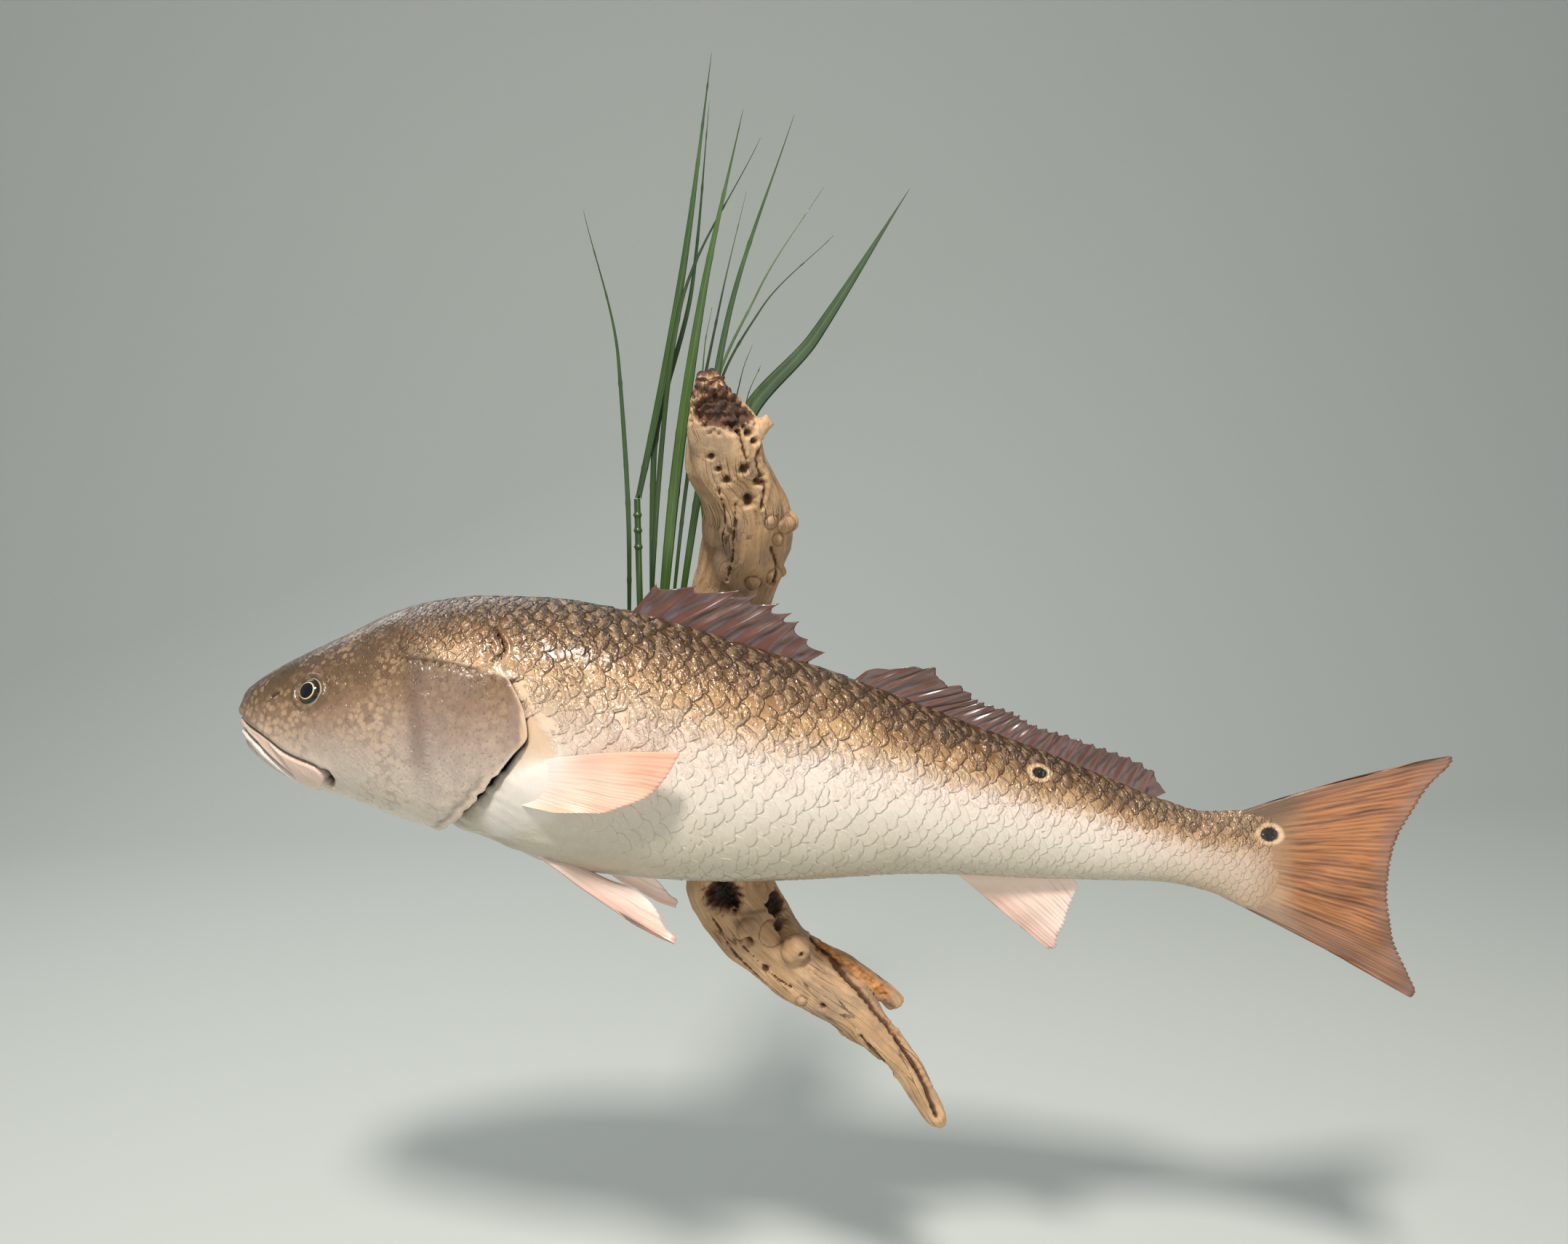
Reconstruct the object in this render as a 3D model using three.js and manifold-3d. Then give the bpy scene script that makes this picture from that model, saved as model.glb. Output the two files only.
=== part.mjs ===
// A mounted red drum: the skin mount of a metre-long fish, head to the left, carried off a wall by
// a crooked piece of driftwood, with a clump of plastic marsh grass standing behind its back.
//
// Millimetres. +X runs from the head to the tail, +Z is up, and the wall is the plane Y = 0, so the
// whole mount lies at Y < 0 and "out" below means the distance from the wall, which is -Y. The
// origin is the middle of the flat pad on the driftwood's back. The fish's left side faces away
// from the wall.
import * as THREE from "three";
import { mergeVertices } from "three/addons/utils/BufferGeometryUtils.js";
import Module from "manifold-3d";

const wasm = await Module();
wasm.setup();

// ---------------------------------------------------------------- driving dimensions

const GAP = 0.3; // clearance between two pieces that meet
const AROUND = 20; // points round one section of the fish

// The fish, station by station: x, top of the back, underside, half width, middle's distance out.
const STATIONS = [
  [-409, 51.5, 48.5, 1.5, 86],
  [-408, 60, 41, 9, 86],
  [-404.5, 66.5, 21, 16, 87],
  [-397.5, 72.5, 13.5, 24, 89],
  [-387, 79.5, 6.5, 32, 92],
  [-370, 89, -4, 40, 95],
  [-345, 101, -13.5, 47, 99],
  [-315, 114.5, -22, 54, 103],
  [-280, 130.5, -35, 60.5, 107],
  [-245, 139.5, -43.5, 65, 110],
  [-205, 143, -55, 67.5, 113],
  [-160, 141.5, -76.5, 68.5, 115],
  [-110, 133.5, -87.5, 68, 116],
  [-60, 120.5, -93.5, 65.5, 116],
  [0, 100.5, -97.5, 60.5, 115],
  [60, 80, -98.5, 53.5, 113],
  [120, 56.5, -98, 46, 111],
  [180, 31.5, -101.5, 38, 109],
  [240, 7.5, -107, 30, 109],
  [300, -18.5, -110.5, 22.5, 111],
  [350, -39.5, -112.5, 17.5, 116],
  [388, -50, -120.5, 14, 121],
  [425, -48, -137, 7, 127],
];
const WIDEST = 0.5; // how far up the section is widest, as a part of its height
const BACK_FULLNESS = 1.08; // above 1 the back is leaner than an ellipse
const BELLY_FULLNESS = 0.86; // below 1 the belly is fuller than an ellipse

// Eye: a glass dome in the side of the head.
const EYE = { x: -339, z: 74, radius: 11.2, bulge: 6.5, sunk: 2.2 };

// Side-view lines of the head, as x, z.
const GILL_EDGE = [
  [-205, 165], [-198, 125], [-192, 101], [-180, 83], [-170, 60], [-168, 43],
  [-180, 28], [-200, 5], [-222, -20], [-246, -40], [-264, -80],
];
const CHEEK_EDGE = [[-232, 98], [-247, 84], [-245, 52], [-250, 16], [-262, -16], [-280, -44]];
const LIP_GROOVE = [[-416, 53], [-402, 47.5], [-385, 40], [-365, 28], [-346, 19], [-331, 11.5]];
const MOUTH_LINE = [[-418, 41], [-399, 37], [-387, 29.5], [-374, 17], [-361, 4], [-350, -7]];
const MAXILLA_END = [[-331.5, 3], [-339, -6.5]];
const JAW_REAR = [[-339, -8], [-327, -10], [-317, -14], [-302, -60]];
const GILL_COVER_THICKNESS = 8;
const TAIL_STOCK_X = [282, 292]; // where the tail stock starts, at the back and at the belly

// Fins. Thickness is given at the root and at the outer edge.
const SPINES = [ // root x, tip x, tip z of each spine of the first dorsal fin
  [-94, -69, 151], [-79, -38, 148], [-62, -1, 144], [-48, 14, 140], [-31, 29, 132],
  [-13, 39, 124], [7, 45, 117], [27, 52, 102], [44, 66, 91],
];
const SPINY_FIN = { sink: 7, thickness: [2.4, 0.9], webDip: 0.34 };
const SOFT_FIN_TIPS = [ // the second dorsal fin's outer edge, as x, z
  [96, 74], [111, 77], [143, 77.5], [158, 76], [165, 63.5], [181, 59.5], [194, 47.5], [224, 36.5],
  [240, 26.5], [276, 13.5], [310, 1], [331, -8], [347, -20], [354, -36],
];
const SOFT_FIN = { rootX: [86, 338], sink: 6, thickness: [2.2, 0.8], rays: 25 };
const TAIL_FIN = {
  rootX: 404, rootZ: [-54, -126], tipZ: [-2, -211], forkX: 533, forkZ: -106, forkDepth: [49, 29],
  out: [124, 147], thickness: [8, 1], rays: 13,
};
const ANAL_FIN = {
  rootX: [168, 272], sink: 7, out: [109, 103], thickness: [2.6, 0.9], rays: 9,
  tips: [[258, -174], [265, -172], [265.5, -162], [270, -152], [274, -137], [279, -122], [282, -116]],
};
const PECTORAL_FIN = {
  root: [[-167, 21], [-185, -11]], rootDepth: 8, thickness: [3, 0.9], rays: 9, stand: 30, folded: 7,
  tips: [
    [-52, 33], [-57, 24], [-66, 10.5], [-80, -2], [-97, -9], [-114, -14], [-130, -14], [-151, -14.5],
  ],
};
const PELVIC_FIN = {
  root: [[-174, -56], [-148, -64]], aside: [33, 42, 20], thickness: [3, 0.9], rays: 7,
  tips: [[-62, -137], [-60, -131], [-66, -124], [-74, -110], [-84, -100], [-99, -92], [-122, -85]],
};

// Driftwood limbs, ring by ring: x, distance out, z, half width across, half thickness.
const MAIN_LIMB = [
  [-26, 168, 311, 9, 10],
  [-24, 160, 294, 18, 17],
  [-14, 148, 268, 29, 23],
  [-12, 134, 246, 30, 26],
  [-4, 121, 229, 30, 27],
  [5, 104, 205, 34, 28],
  [6, 88, 184, 36, 28],
  [0, 72, 166, 36, 27],
  [-5, 60, 148, 35, 26],
  [-11, 50, 128, 34, 25],
  [-10, 36, 80, 36, 27],
  [0, 27, 20, 38, 30],
  [-2, 27, -30, 38, 30],
  [-14, 36, -80, 35, 27],
  [-20, 47, -125, 31, 26],
  [0, 52, -158, 30, 26],
  [28, 58, -185, 29, 25],
  [50, 62, -206, 27, 24],
  [70, 67, -220, 24, 22],
  [93, 75, -236, 21, 19],
  [114, 82, -256, 16.5, 16],
  [134, 90, -277, 13.5, 13],
  [151, 97, -309, 10, 10],
  [163, 101, -327, 7, 7],
  [167, 102, -333, 3, 3],
];
const SIDE_LIMB = [
  [4, 38, -84, 13, 13],
  [19, 42, -134, 11, 12],
  [41, 50, -170, 11, 12],
  [68, 55, -188, 10, 10],
  [100, 57, -207, 10, 9],
  [124, 57, -228, 9, 9],
  [134, 57, -238, 7, 7],
];
const LIMB_AROUND = 10;
const KNOTS = [ // round burrs on the wood: x, out, z, radius
  [46, 82, -180, 13], [0, 76, -160, 9], [85, 78, -248, 7], [37, 96, 197, 9], [30, 78, 155, 8],
];
const STUB = { from: [6, 150, 265], to: [20, 156, 277], radius: 6 }; // a snapped-off twig

// Grass blades: root, two points on the way and the tip, each as x, out, z, then the width.
const FRONT_BLADES = [
  [[-96, 52, 95.3], [-92, 90, 215], [-94, 133, 325], [-114, 177, 429], 4.2],
  [[-85, 56, 217], [-60, 84, 318], [-40, 105, 415], [-18, 130, 552], 7.2],
  [[-77, 46, 95.3], [-71, 64, 250], [-36, 86, 388], [-20, 110, 523], 5.4],
  [[-70, 55, 95.3], [-52, 82, 240], [-28, 105, 378], [5, 132, 511], 10.5],
  [[-79, 56, 95.3], [-66, 79, 240], [-46, 98, 368], [18, 128, 491], 4.6],
  [[-62, 53, 95.3], [-43, 72, 236], [-13, 66, 378], [10, 55, 467], 3.4],
  [[-56, 47, 95.3], [-38, 64, 202], [-8, 76, 361], [47, 92, 518], 7],
];
const REAR_BLADES = [
  [[-24, 18, 130.3], [-33, 40, 250], [-27, 54, 340], [-20, 52, 374], 3],
  [[-17, 15, 130.3], [-29, 34, 250], [-13, 44, 335], [-1, 44, 380], 6],
  [[-10, 11, 130.3], [-20, 22, 290], [20, 14, 391], [79, 7, 481], 3.2],
  [[-3, 17, 130.3], [-18, 30, 290], [22, 40, 375], [82, 54, 432], 3],
  [[4, 21, 130.3], [-6, 26, 262], [5, 32, 322], [14, 36, 345], 2.8],
  [[11, 18, 130.3], [2, 22, 250], [9, 27, 300], [21, 34, 328], 2.6],
  [[18, 11, 130.3], [6, 18, 270], [68, 20, 352], [150, 30, 475], 17],
];
const BLADE_THICKNESS = 0.9;
const BLADE_STEPS = 7;
const FRONT_BASE = { x: [-103, -44], out: [41, 60], z: [86, 95] };
const REAR_BASE = { x: [-29, 25], out: [7, 24], z: [118, 130] };
const STEM = { x: -86, out: 56, z: [95.3, 216.7], radius: 2.7, jointRise: 1.1, joints: [176, 190, 203] };

// ---------------------------------------------------------------- colours

const finish = (color, roughness) =>
  new THREE.MeshStandardMaterial({ color, roughness, metalness: 0 });
const BRONZE = finish(0x9a7a58, 0.35);
const CHEEK = finish(0xa88c70, 0.32);
const SILVER = finish(0xc9b9a6, 0.33);
const LIP = finish(0xe0cdbb, 0.3);
const EYE_GLASS = finish(0x14120f, 0.06);
const DORSAL = finish(0x7c5847, 0.35);
const TAIL = finish(0xa8713f, 0.38);
const PALE_FIN = finish(0xe7bfa4, 0.4);
const WOOD = finish(0xb08b62, 0.8);
const GRASS = finish(0x2f5a26, 0.45);

// ---------------------------------------------------------------- making and cutting solids

// A closed surface from points and triangles, turned so that its faces point out.
function surface(points, faces) {
  let volume = 0;
  for (let i = 0; i < faces.length; i += 3) {
    const [a, b, c] = [points[faces[i]], points[faces[i + 1]], points[faces[i + 2]]];
    volume += a.dot(new THREE.Vector3().crossVectors(b, c));
  }
  const index = volume < 0 ? faces.slice().reverse() : faces;
  const geometry = new THREE.BufferGeometry();
  const coordinates = points.flatMap((point) => [point.x, point.y, point.z]);
  geometry.setAttribute("position", new THREE.Float32BufferAttribute(coordinates, 3));
  geometry.setIndex(index);
  return geometry;
}

// A skin over rings of equal length, closed at both ends by a fan.
function loft(rings) {
  const count = rings[0].length;
  const points = rings.flat();
  const faces = [];
  for (let i = 0; i + 1 < rings.length; i += 1) {
    for (let j = 0; j < count; j += 1) {
      const next = (j + 1) % count;
      const [a, b] = [i * count + j, i * count + next];
      const [c, d] = [(i + 1) * count + next, (i + 1) * count + j];
      faces.push(a, b, c, a, c, d);
    }
  }
  [0, rings.length - 1].forEach((end) => {
    const middle = new THREE.Vector3();
    rings[end].forEach((point) => middle.addScaledVector(point, 1 / count));
    const hub = points.push(middle) - 1;
    for (let j = 0; j < count; j += 1) {
      const [a, b] = [end * count + j, end * count + ((j + 1) % count)];
      faces.push(...(end === 0 ? [hub, b, a] : [hub, a, b]));
    }
  });
  return surface(points, faces);
}

function solid(geometry) {
  const bare = geometry.clone();
  bare.deleteAttribute("normal");
  bare.deleteAttribute("uv");
  const merged = mergeVertices(bare, 1e-4);
  const mesh = new wasm.Mesh({
    numProp: 3,
    vertProperties: new Float32Array(merged.attributes.position.array),
    triVerts: new Uint32Array(merged.index.array),
  });
  return new wasm.Manifold(mesh);
}

function geometryOf(body) {
  const mesh = body.getMesh();
  const geometry = new THREE.BufferGeometry();
  geometry.setAttribute("position", new THREE.Float32BufferAttribute(mesh.vertProperties, 3));
  geometry.setIndex(Array.from(mesh.triVerts));
  return geometry;
}

// A side-view outline carried straight through the fish between two distances out.
function throughCut(outline, outFrom = 0, outTo = 260) {
  const shape = new THREE.Shape(outline.map(([x, z]) => new THREE.Vector2(x, z)));
  const geometry = new THREE.ExtrudeGeometry(shape, {
    depth: outTo - outFrom,
    bevelEnabled: false,
  });
  geometry.rotateX(Math.PI / 2);
  geometry.translate(0, -outFrom, 0);
  return solid(geometry);
}

// A side-view line as a smooth curve.
function smoothLine(points, steps = 14) {
  const curve = new THREE.SplineCurve(points.map(([x, z]) => new THREE.Vector2(x, z)));
  return curve.getPoints(steps).map((spot) => [spot.x, spot.y]);
}

// A closed side-view outline moved outwards, each point along the mean of its two edge normals.
function grown(outline, by = GAP) {
  const turn = Math.sign(THREE.ShapeUtils.area(outline.map(([x, z]) => new THREE.Vector2(x, z))));
  const normal = (a, b) => new THREE.Vector2(b[1] - a[1], a[0] - b[0]).normalize();
  return outline.map((spot, i) => {
    const before = outline[(i + outline.length - 1) % outline.length];
    const after = outline[(i + 1) % outline.length];
    const move = normal(before, spot).add(normal(spot, after)).normalize().multiplyScalar(by * turn);
    return [spot[0] + move.x, spot[1] + move.y];
  });
}

// The main body of a cut, without the slivers that may be left beside it.
function largest(cut) {
  return cut.decompose().reduce((a, b) => (a.volume() > b.volume() ? a : b));
}

function block(x, out, z) {
  const geometry = new THREE.BoxGeometry(x[1] - x[0], out[1] - out[0], z[1] - z[0]);
  geometry.translate((x[0] + x[1]) / 2, -(out[0] + out[1]) / 2, (z[0] + z[1]) / 2);
  return geometry;
}

const mix = THREE.MathUtils.lerp;
const point = (x, out, z) => new THREE.Vector3(x, -out, z);

// ---------------------------------------------------------------- the body of the fish

// One column of the station table as a smooth function of x that never overshoots.
function column(index) {
  const x = STATIONS.map((row) => row[0]);
  const v = STATIONS.map((row) => row[index]);
  const slope = x.slice(1).map((_, i) => (v[i + 1] - v[i]) / (x[i + 1] - x[i]));
  const tangent = x.map((_, i) => {
    if (i === 0) return slope[0];
    if (i === x.length - 1) return slope[i - 1];
    if (slope[i - 1] * slope[i] <= 0) return 0;
    return (2 * slope[i - 1] * slope[i]) / (slope[i - 1] + slope[i]);
  });
  return (at) => {
    const last = x.length - 2;
    const i = Math.min(last, Math.max(0, x.findIndex((edge) => edge > at) - 1));
    const k = at >= x[last + 1] ? last : i;
    const width = x[k + 1] - x[k];
    const t = THREE.MathUtils.clamp((at - x[k]) / width, 0, 1);
    const rise = t * t * (3 - 2 * t);
    return (
      mix(v[k], v[k + 1], rise) +
      width * (t * (1 - t) * (1 - t) * tangent[k] - t * t * (1 - t) * tangent[k + 1])
    );
  };
}

const topAt = column(1);
const bottomAt = column(2);
const halfWidthAt = column(3);
const middleAt = column(4); // distance out of the fish's middle plane

const widestAt = (x) => mix(bottomAt(x), topAt(x), WIDEST);

// A point of the skin at station x, by the angle round the section (0 faces the wall).
function skinPoint(x, angle, grow) {
  const [side, rise] = [Math.cos(angle), Math.sin(angle)];
  const fullness = rise > 0 ? BACK_FULLNESS : BELLY_FULLNESS;
  const reach = rise > 0 ? topAt(x) - widestAt(x) : widestAt(x) - bottomAt(x);
  const aside = Math.sign(side) * Math.abs(side) ** fullness * Math.max(halfWidthAt(x) + grow, 0.5);
  return new THREE.Vector3(x, aside - middleAt(x), widestAt(x) + rise * Math.max(reach + grow, 0.5));
}

// Half the fish's width at a height z of station x.
function halfAt(x, z) {
  const above = z > widestAt(x);
  const reach = above ? topAt(x) - widestAt(x) : widestAt(x) - bottomAt(x);
  const rise = Math.min(1, Math.abs(z - widestAt(x)) / reach);
  return halfWidthAt(x) * Math.sqrt(1 - rise * rise) ** (above ? BACK_FULLNESS : BELLY_FULLNESS);
}

// The whole fish without fins, its skin moved out by `grow`.
function bodySolid(grow = 0) {
  const [start, end] = [STATIONS[0][0], STATIONS.at(-1)[0]];
  const at = [start - Math.max(grow, 0)];
  const closest = 2; // the sections crowd together towards the blunt snout
  const widest = 21;
  for (let x = start + closest; x < end; x += THREE.MathUtils.clamp((x - start) * 0.5, closest, widest)) {
    at.push(x);
  }
  at.push(end + Math.max(grow, 0));
  const ring = (x) =>
    Array.from({ length: AROUND }, (_, j) => skinPoint(x, (2 * Math.PI * j) / AROUND, grow));
  return solid(loft(at.map(ring)));
}

const body = bodySolid();
const clearOfBody = bodySolid(GAP);

// ---------------------------------------------------------------- parting the body

const [FAR_LEFT, FAR_RIGHT, FAR_UP, FAR_DOWN] = [-500, 700, 260, -260];
const toFarLeft = (line) => [...line, [FAR_LEFT, FAR_DOWN], [FAR_LEFT, FAR_UP]];

// The eye is a flattened ball that looks square out of the side of the head.
function eyeball(side, grow) {
  const { x, z, radius, bulge, sunk } = EYE;
  const step = 4;
  const out = (atX, atZ) => middleAt(atX) + side * halfAt(atX, atZ);
  const slopeX = (out(x + step, z) - out(x - step, z)) / (2 * step);
  const slopeZ = (out(x, z + step) - out(x, z - step)) / (2 * step);
  const outward = new THREE.Vector3(slopeX, 1, slopeZ).normalize().multiplyScalar(-side);
  const ball = new THREE.SphereGeometry(1, 12, 8);
  ball.scale(radius + grow, radius + grow, bulge + grow);
  const turn = new THREE.Quaternion().setFromUnitVectors(new THREE.Vector3(0, 0, 1), outward);
  ball.applyQuaternion(turn);
  const centre = point(x, out(x, z), z).addScaledVector(outward, -sunk);
  ball.translate(centre.x, centre.y, centre.z);
  return ball;
}

const headOutline = toFarLeft(smoothLine(GILL_EDGE, 14));
const upperJawOutline = [
  ...smoothLine(LIP_GROOVE, 8), ...MAXILLA_END, ...smoothLine(MOUTH_LINE, 7).reverse(),
];
const lowerJawOutline = toFarLeft([...smoothLine(MOUTH_LINE, 7), ...JAW_REAR]).slice(0, -1);
const tailStockOutline = [
  [TAIL_STOCK_X[0], FAR_UP], [TAIL_STOCK_X[1], FAR_DOWN], [FAR_RIGHT, FAR_DOWN], [FAR_RIGHT, FAR_UP],
];

// A gill cover is a curved plate, free along its rear edge, on one side of the head.
const COVER_RANGE = { left: [122, 260], right: [0, 98] };
const coverOutline = [
  ...smoothLine(CHEEK_EDGE, 8), ...smoothLine(GILL_EDGE.slice(2, 10), 14).reverse(),
];

function partedHead() {
  const front = body.intersect(throughCut(headOutline));
  const underCover = bodySolid(-GILL_COVER_THICKNESS);
  const coverSeat = bodySolid(-GILL_COVER_THICKNESS - GAP);
  const cover = (side) =>
    front.intersect(throughCut(coverOutline, ...COVER_RANGE[side])).subtract(underCover);
  const upperJaw = throughCut(grown(upperJawOutline));
  const lowerJaw = throughCut(grown(lowerJawOutline));
  let head = front.subtract(upperJaw).subtract(lowerJaw);
  [[1, "left"], [-1, "right"]].forEach(([side, name]) => {
    const [from, to] = COVER_RANGE[name];
    const hollow = throughCut(grown(coverOutline), from - GAP, to + GAP).subtract(coverSeat);
    head = head.subtract(hollow).subtract(solid(eyeball(side, GAP)));
  });
  return {
    head: largest(head),
    gill_cover_left: largest(cover("left")),
    gill_cover_right: largest(cover("right")),
    upper_jaw: largest(front.intersect(throughCut(upperJawOutline))),
    lower_jaw: largest(front.intersect(throughCut(lowerJawOutline)).subtract(upperJaw)),
  };
}

function partedTrunk() {
  const rear = body.subtract(throughCut(grown(headOutline)));
  return {
    trunk: rear.subtract(throughCut(grown(tailStockOutline))),
    tail_stock: rear.intersect(throughCut(tailStockOutline)),
  };
}

// ---------------------------------------------------------------- fins

// A fin is a thin plate over rays, each from a root to a tip. `across` points through the plate,
// `thickness` runs from root to edge, and the odd rays are webs, a little thinner than the rest.
function fin(rays, across, thickness, rows = 3) {
  const sides = [0.5, -0.5];
  const points = [];
  sides.forEach((half) => {
    rays.forEach(([root, tip, bow], i) => {
      const web = i % 2 === 1 ? 0.72 : 1;
      for (let row = 0; row <= rows; row += 1) {
        const t = row / rows;
        const thick = Math.max(mix(thickness[0], thickness[1], t) * web, 0.55);
        const point = root.clone().lerp(tip, t).addScaledVector(across, half * thick);
        if (bow) point.addScaledVector(bow, 4 * t * (1 - t));
        points.push(point);
      }
    });
  });
  const at = (side, ray, row) => (side * rays.length + ray) * (rows + 1) + row;
  const faces = [];
  const quad = (a, b, c, d) => faces.push(a, b, c, a, c, d);
  for (let ray = 0; ray + 1 < rays.length; ray += 1) {
    for (let row = 0; row < rows; row += 1) {
      quad(at(0, ray, row), at(0, ray + 1, row), at(0, ray + 1, row + 1), at(0, ray, row + 1));
      quad(at(1, ray, row), at(1, ray, row + 1), at(1, ray + 1, row + 1), at(1, ray + 1, row));
    }
    quad(at(0, ray, 0), at(1, ray, 0), at(1, ray + 1, 0), at(0, ray + 1, 0));
    quad(at(0, ray, rows), at(0, ray + 1, rows), at(1, ray + 1, rows), at(1, ray, rows));
  }
  const last = rays.length - 1;
  for (let row = 0; row < rows; row += 1) {
    quad(at(0, 0, row), at(0, 0, row + 1), at(1, 0, row + 1), at(1, 0, row));
    quad(at(0, last, row), at(1, last, row), at(1, last, row + 1), at(0, last, row + 1));
  }
  return surface(points, faces);
}

const offBody = (geometry) => largest(solid(geometry).subtract(clearOfBody));
const ACROSS = new THREE.Vector3(0, 1, 0);

// A side-view edge as a smooth curve that gives [x, z] at a fraction of its length.
function edgeCurve(points) {
  const corners = points.map(([x, z]) => new THREE.Vector3(x, 0, z));
  const curve = new THREE.CatmullRomCurve3(corners, false, "centripetal");
  return (t) => curve.getPointAt(THREE.MathUtils.clamp(t, 0, 1));
}

function spinyDorsalFin() {
  const { sink, thickness, webDip } = SPINY_FIN;
  const root = (x) => point(x, middleAt(x), topAt(x) - sink);
  const rays = [];
  SPINES.forEach(([rootX, tipX, tipZ], i) => {
    rays.push([root(rootX), point(tipX, middleAt(rootX), tipZ)]);
    const next = SPINES[i + 1];
    if (!next) return;
    const between = (rootX + next[0]) / 2;
    const dipX = mix(mix(tipX, next[1], 0.35), between, webDip);
    const dipZ = mix(mix(tipZ, next[2], 0.35), topAt(between), webDip);
    rays.push([root(between), point(dipX, middleAt(between), dipZ)]);
  });
  return offBody(fin(rays, ACROSS, thickness, 2));
}

function softDorsalFin() {
  const { rootX, sink, thickness, rays: count } = SOFT_FIN;
  const edge = edgeCurve(SOFT_FIN_TIPS);
  const rays = Array.from({ length: count }, (_, i) => {
    const t = i / (count - 1);
    const x = mix(rootX[0], rootX[1], t);
    const tip = edge(t);
    return [point(x, middleAt(x), topAt(x) - sink), point(tip.x, middleAt(x), tip.z)];
  });
  return offBody(fin(rays, ACROSS, thickness, 2));
}

function tailFin() {
  const { rootX, rootZ, tipZ, forkX, forkZ, forkDepth, out, thickness, rays: count } = TAIL_FIN;
  const rays = Array.from({ length: 2 * count - 1 }, (_, i) => {
    const t = i / (2 * count - 2);
    const z = mix(tipZ[0], tipZ[1], t);
    const half = z > forkZ ? 0 : 1;
    const toTip = Math.abs((z - forkZ) / (tipZ[half] - forkZ));
    const x = forkX + forkDepth[half] * toTip ** 2 - (i % 2) * 1.5;
    const bow = new THREE.Vector3(0, 0, 3.5 * toTip ** 3);
    return [point(rootX, out[0], mix(rootZ[0], rootZ[1], t)), point(x, out[1], z), bow];
  });
  return offBody(fin(rays, ACROSS, thickness, 3));
}

function analFin() {
  const { rootX, sink, out, thickness, rays: count, tips } = ANAL_FIN;
  const edge = edgeCurve(tips);
  const rays = Array.from({ length: 2 * count - 1 }, (_, i) => {
    const t = i / (2 * count - 2);
    const x = mix(rootX[0], rootX[1], t);
    const tip = edge(t);
    return [point(x, out[0], bottomAt(x) + sink), point(tip.x, mix(out[1], out[0], t), tip.z)];
  });
  return offBody(fin(rays, ACROSS, thickness, 3));
}

// The pectoral fin leaves the flank behind the gill cover. `side` is +1 on the fish's left, and
// `stand` is how far its tip stands off the flank.
function pectoralFin(side, stand) {
  const { root, rootDepth, thickness, rays: count, tips } = PECTORAL_FIN;
  const edge = edgeCurve(tips);
  const flank = (x, z, off) => middleAt(x) + side * (halfAt(x, z) + off);
  const rays = Array.from({ length: 2 * count - 1 }, (_, i) => {
    const t = i / (2 * count - 2);
    const [x, z] = [mix(root[0][0], root[1][0], t), mix(root[0][1], root[1][1], t)];
    const tip = edge(t);
    const reach = (tip.x - x) / (tips[0][0] - root[0][0]);
    const off = stand * (0.2 + 0.8 * reach);
    const bow = new THREE.Vector3(0, -side * 3, 4 * (1 - t));
    return [point(x, flank(x, z, -rootDepth), z), point(tip.x, flank(tip.x, tip.z, off), tip.z), bow];
  });
  const across = new THREE.Vector3(0.24 * side, 1, -0.13 * side).normalize();
  return offBody(fin(rays, across, thickness, 2));
}

// The pelvic fins leave the lower sides of the belly. `aside` is the distance from the fish's
// middle plane at the root, at the outer tip and at the inner edge.
function pelvicFin(side) {
  const { root, aside, thickness, rays: count, tips } = PELVIC_FIN;
  const edge = edgeCurve(tips);
  const middle = middleAt(root[0][0]);
  const rays = Array.from({ length: 2 * count - 1 }, (_, i) => {
    const t = i / (2 * count - 2);
    const [x, z] = [mix(root[0][0], root[1][0], t), mix(root[0][1], root[1][1], t)];
    const tip = edge(t);
    const bow = new THREE.Vector3(0, 0, -4 * (1 - t));
    const tipAside = mix(aside[1], aside[2], t);
    return [
      point(x, middle + side * mix(aside[0], aside[0] - 8, t), z),
      point(tip.x, middle + side * tipAside, tip.z), bow,
    ];
  });
  const across = new THREE.Vector3(0.4, -0.67 * side, 0.63).normalize();
  return offBody(fin(rays, across, thickness, 2));
}

// ---------------------------------------------------------------- driftwood

// A limb: rings square to its middle line, a little lumpy, tapering as the table says.
function limb(stations) {
  const middles = stations.map(([x, out, z]) => point(x, out, z));
  const path = new THREE.CatmullRomCurve3(middles, false, "centripetal");
  const count = stations.length - 1;
  const rings = Array.from({ length: count + 1 }, (_, i) => {
    const t = i / count;
    const k = Math.min(stations.length - 2, Math.floor(t * (stations.length - 1)));
    const part = t * (stations.length - 1) - k;
    const [wide, thick] = [3, 4].map((c) => mix(stations[k][c], stations[k + 1][c], part));
    const along = path.getTangent(t);
    const sideways = new THREE.Vector3().crossVectors(ACROSS, along).normalize();
    const through = new THREE.Vector3().crossVectors(along, sideways).normalize();
    return Array.from({ length: LIMB_AROUND }, (__, j) => {
      const angle = (2 * Math.PI * j) / LIMB_AROUND;
      const lump = 1 + 0.05 * Math.sin(3 * angle + 0.5 * i) + 0.03 * Math.sin(5 * angle - 0.9 * i);
      return path.getPoint(t)
        .addScaledVector(sideways, Math.cos(angle) * wide * lump)
        .addScaledVector(through, Math.sin(angle) * thick * lump);
    });
  });
  return solid(loft(rings));
}

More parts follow.
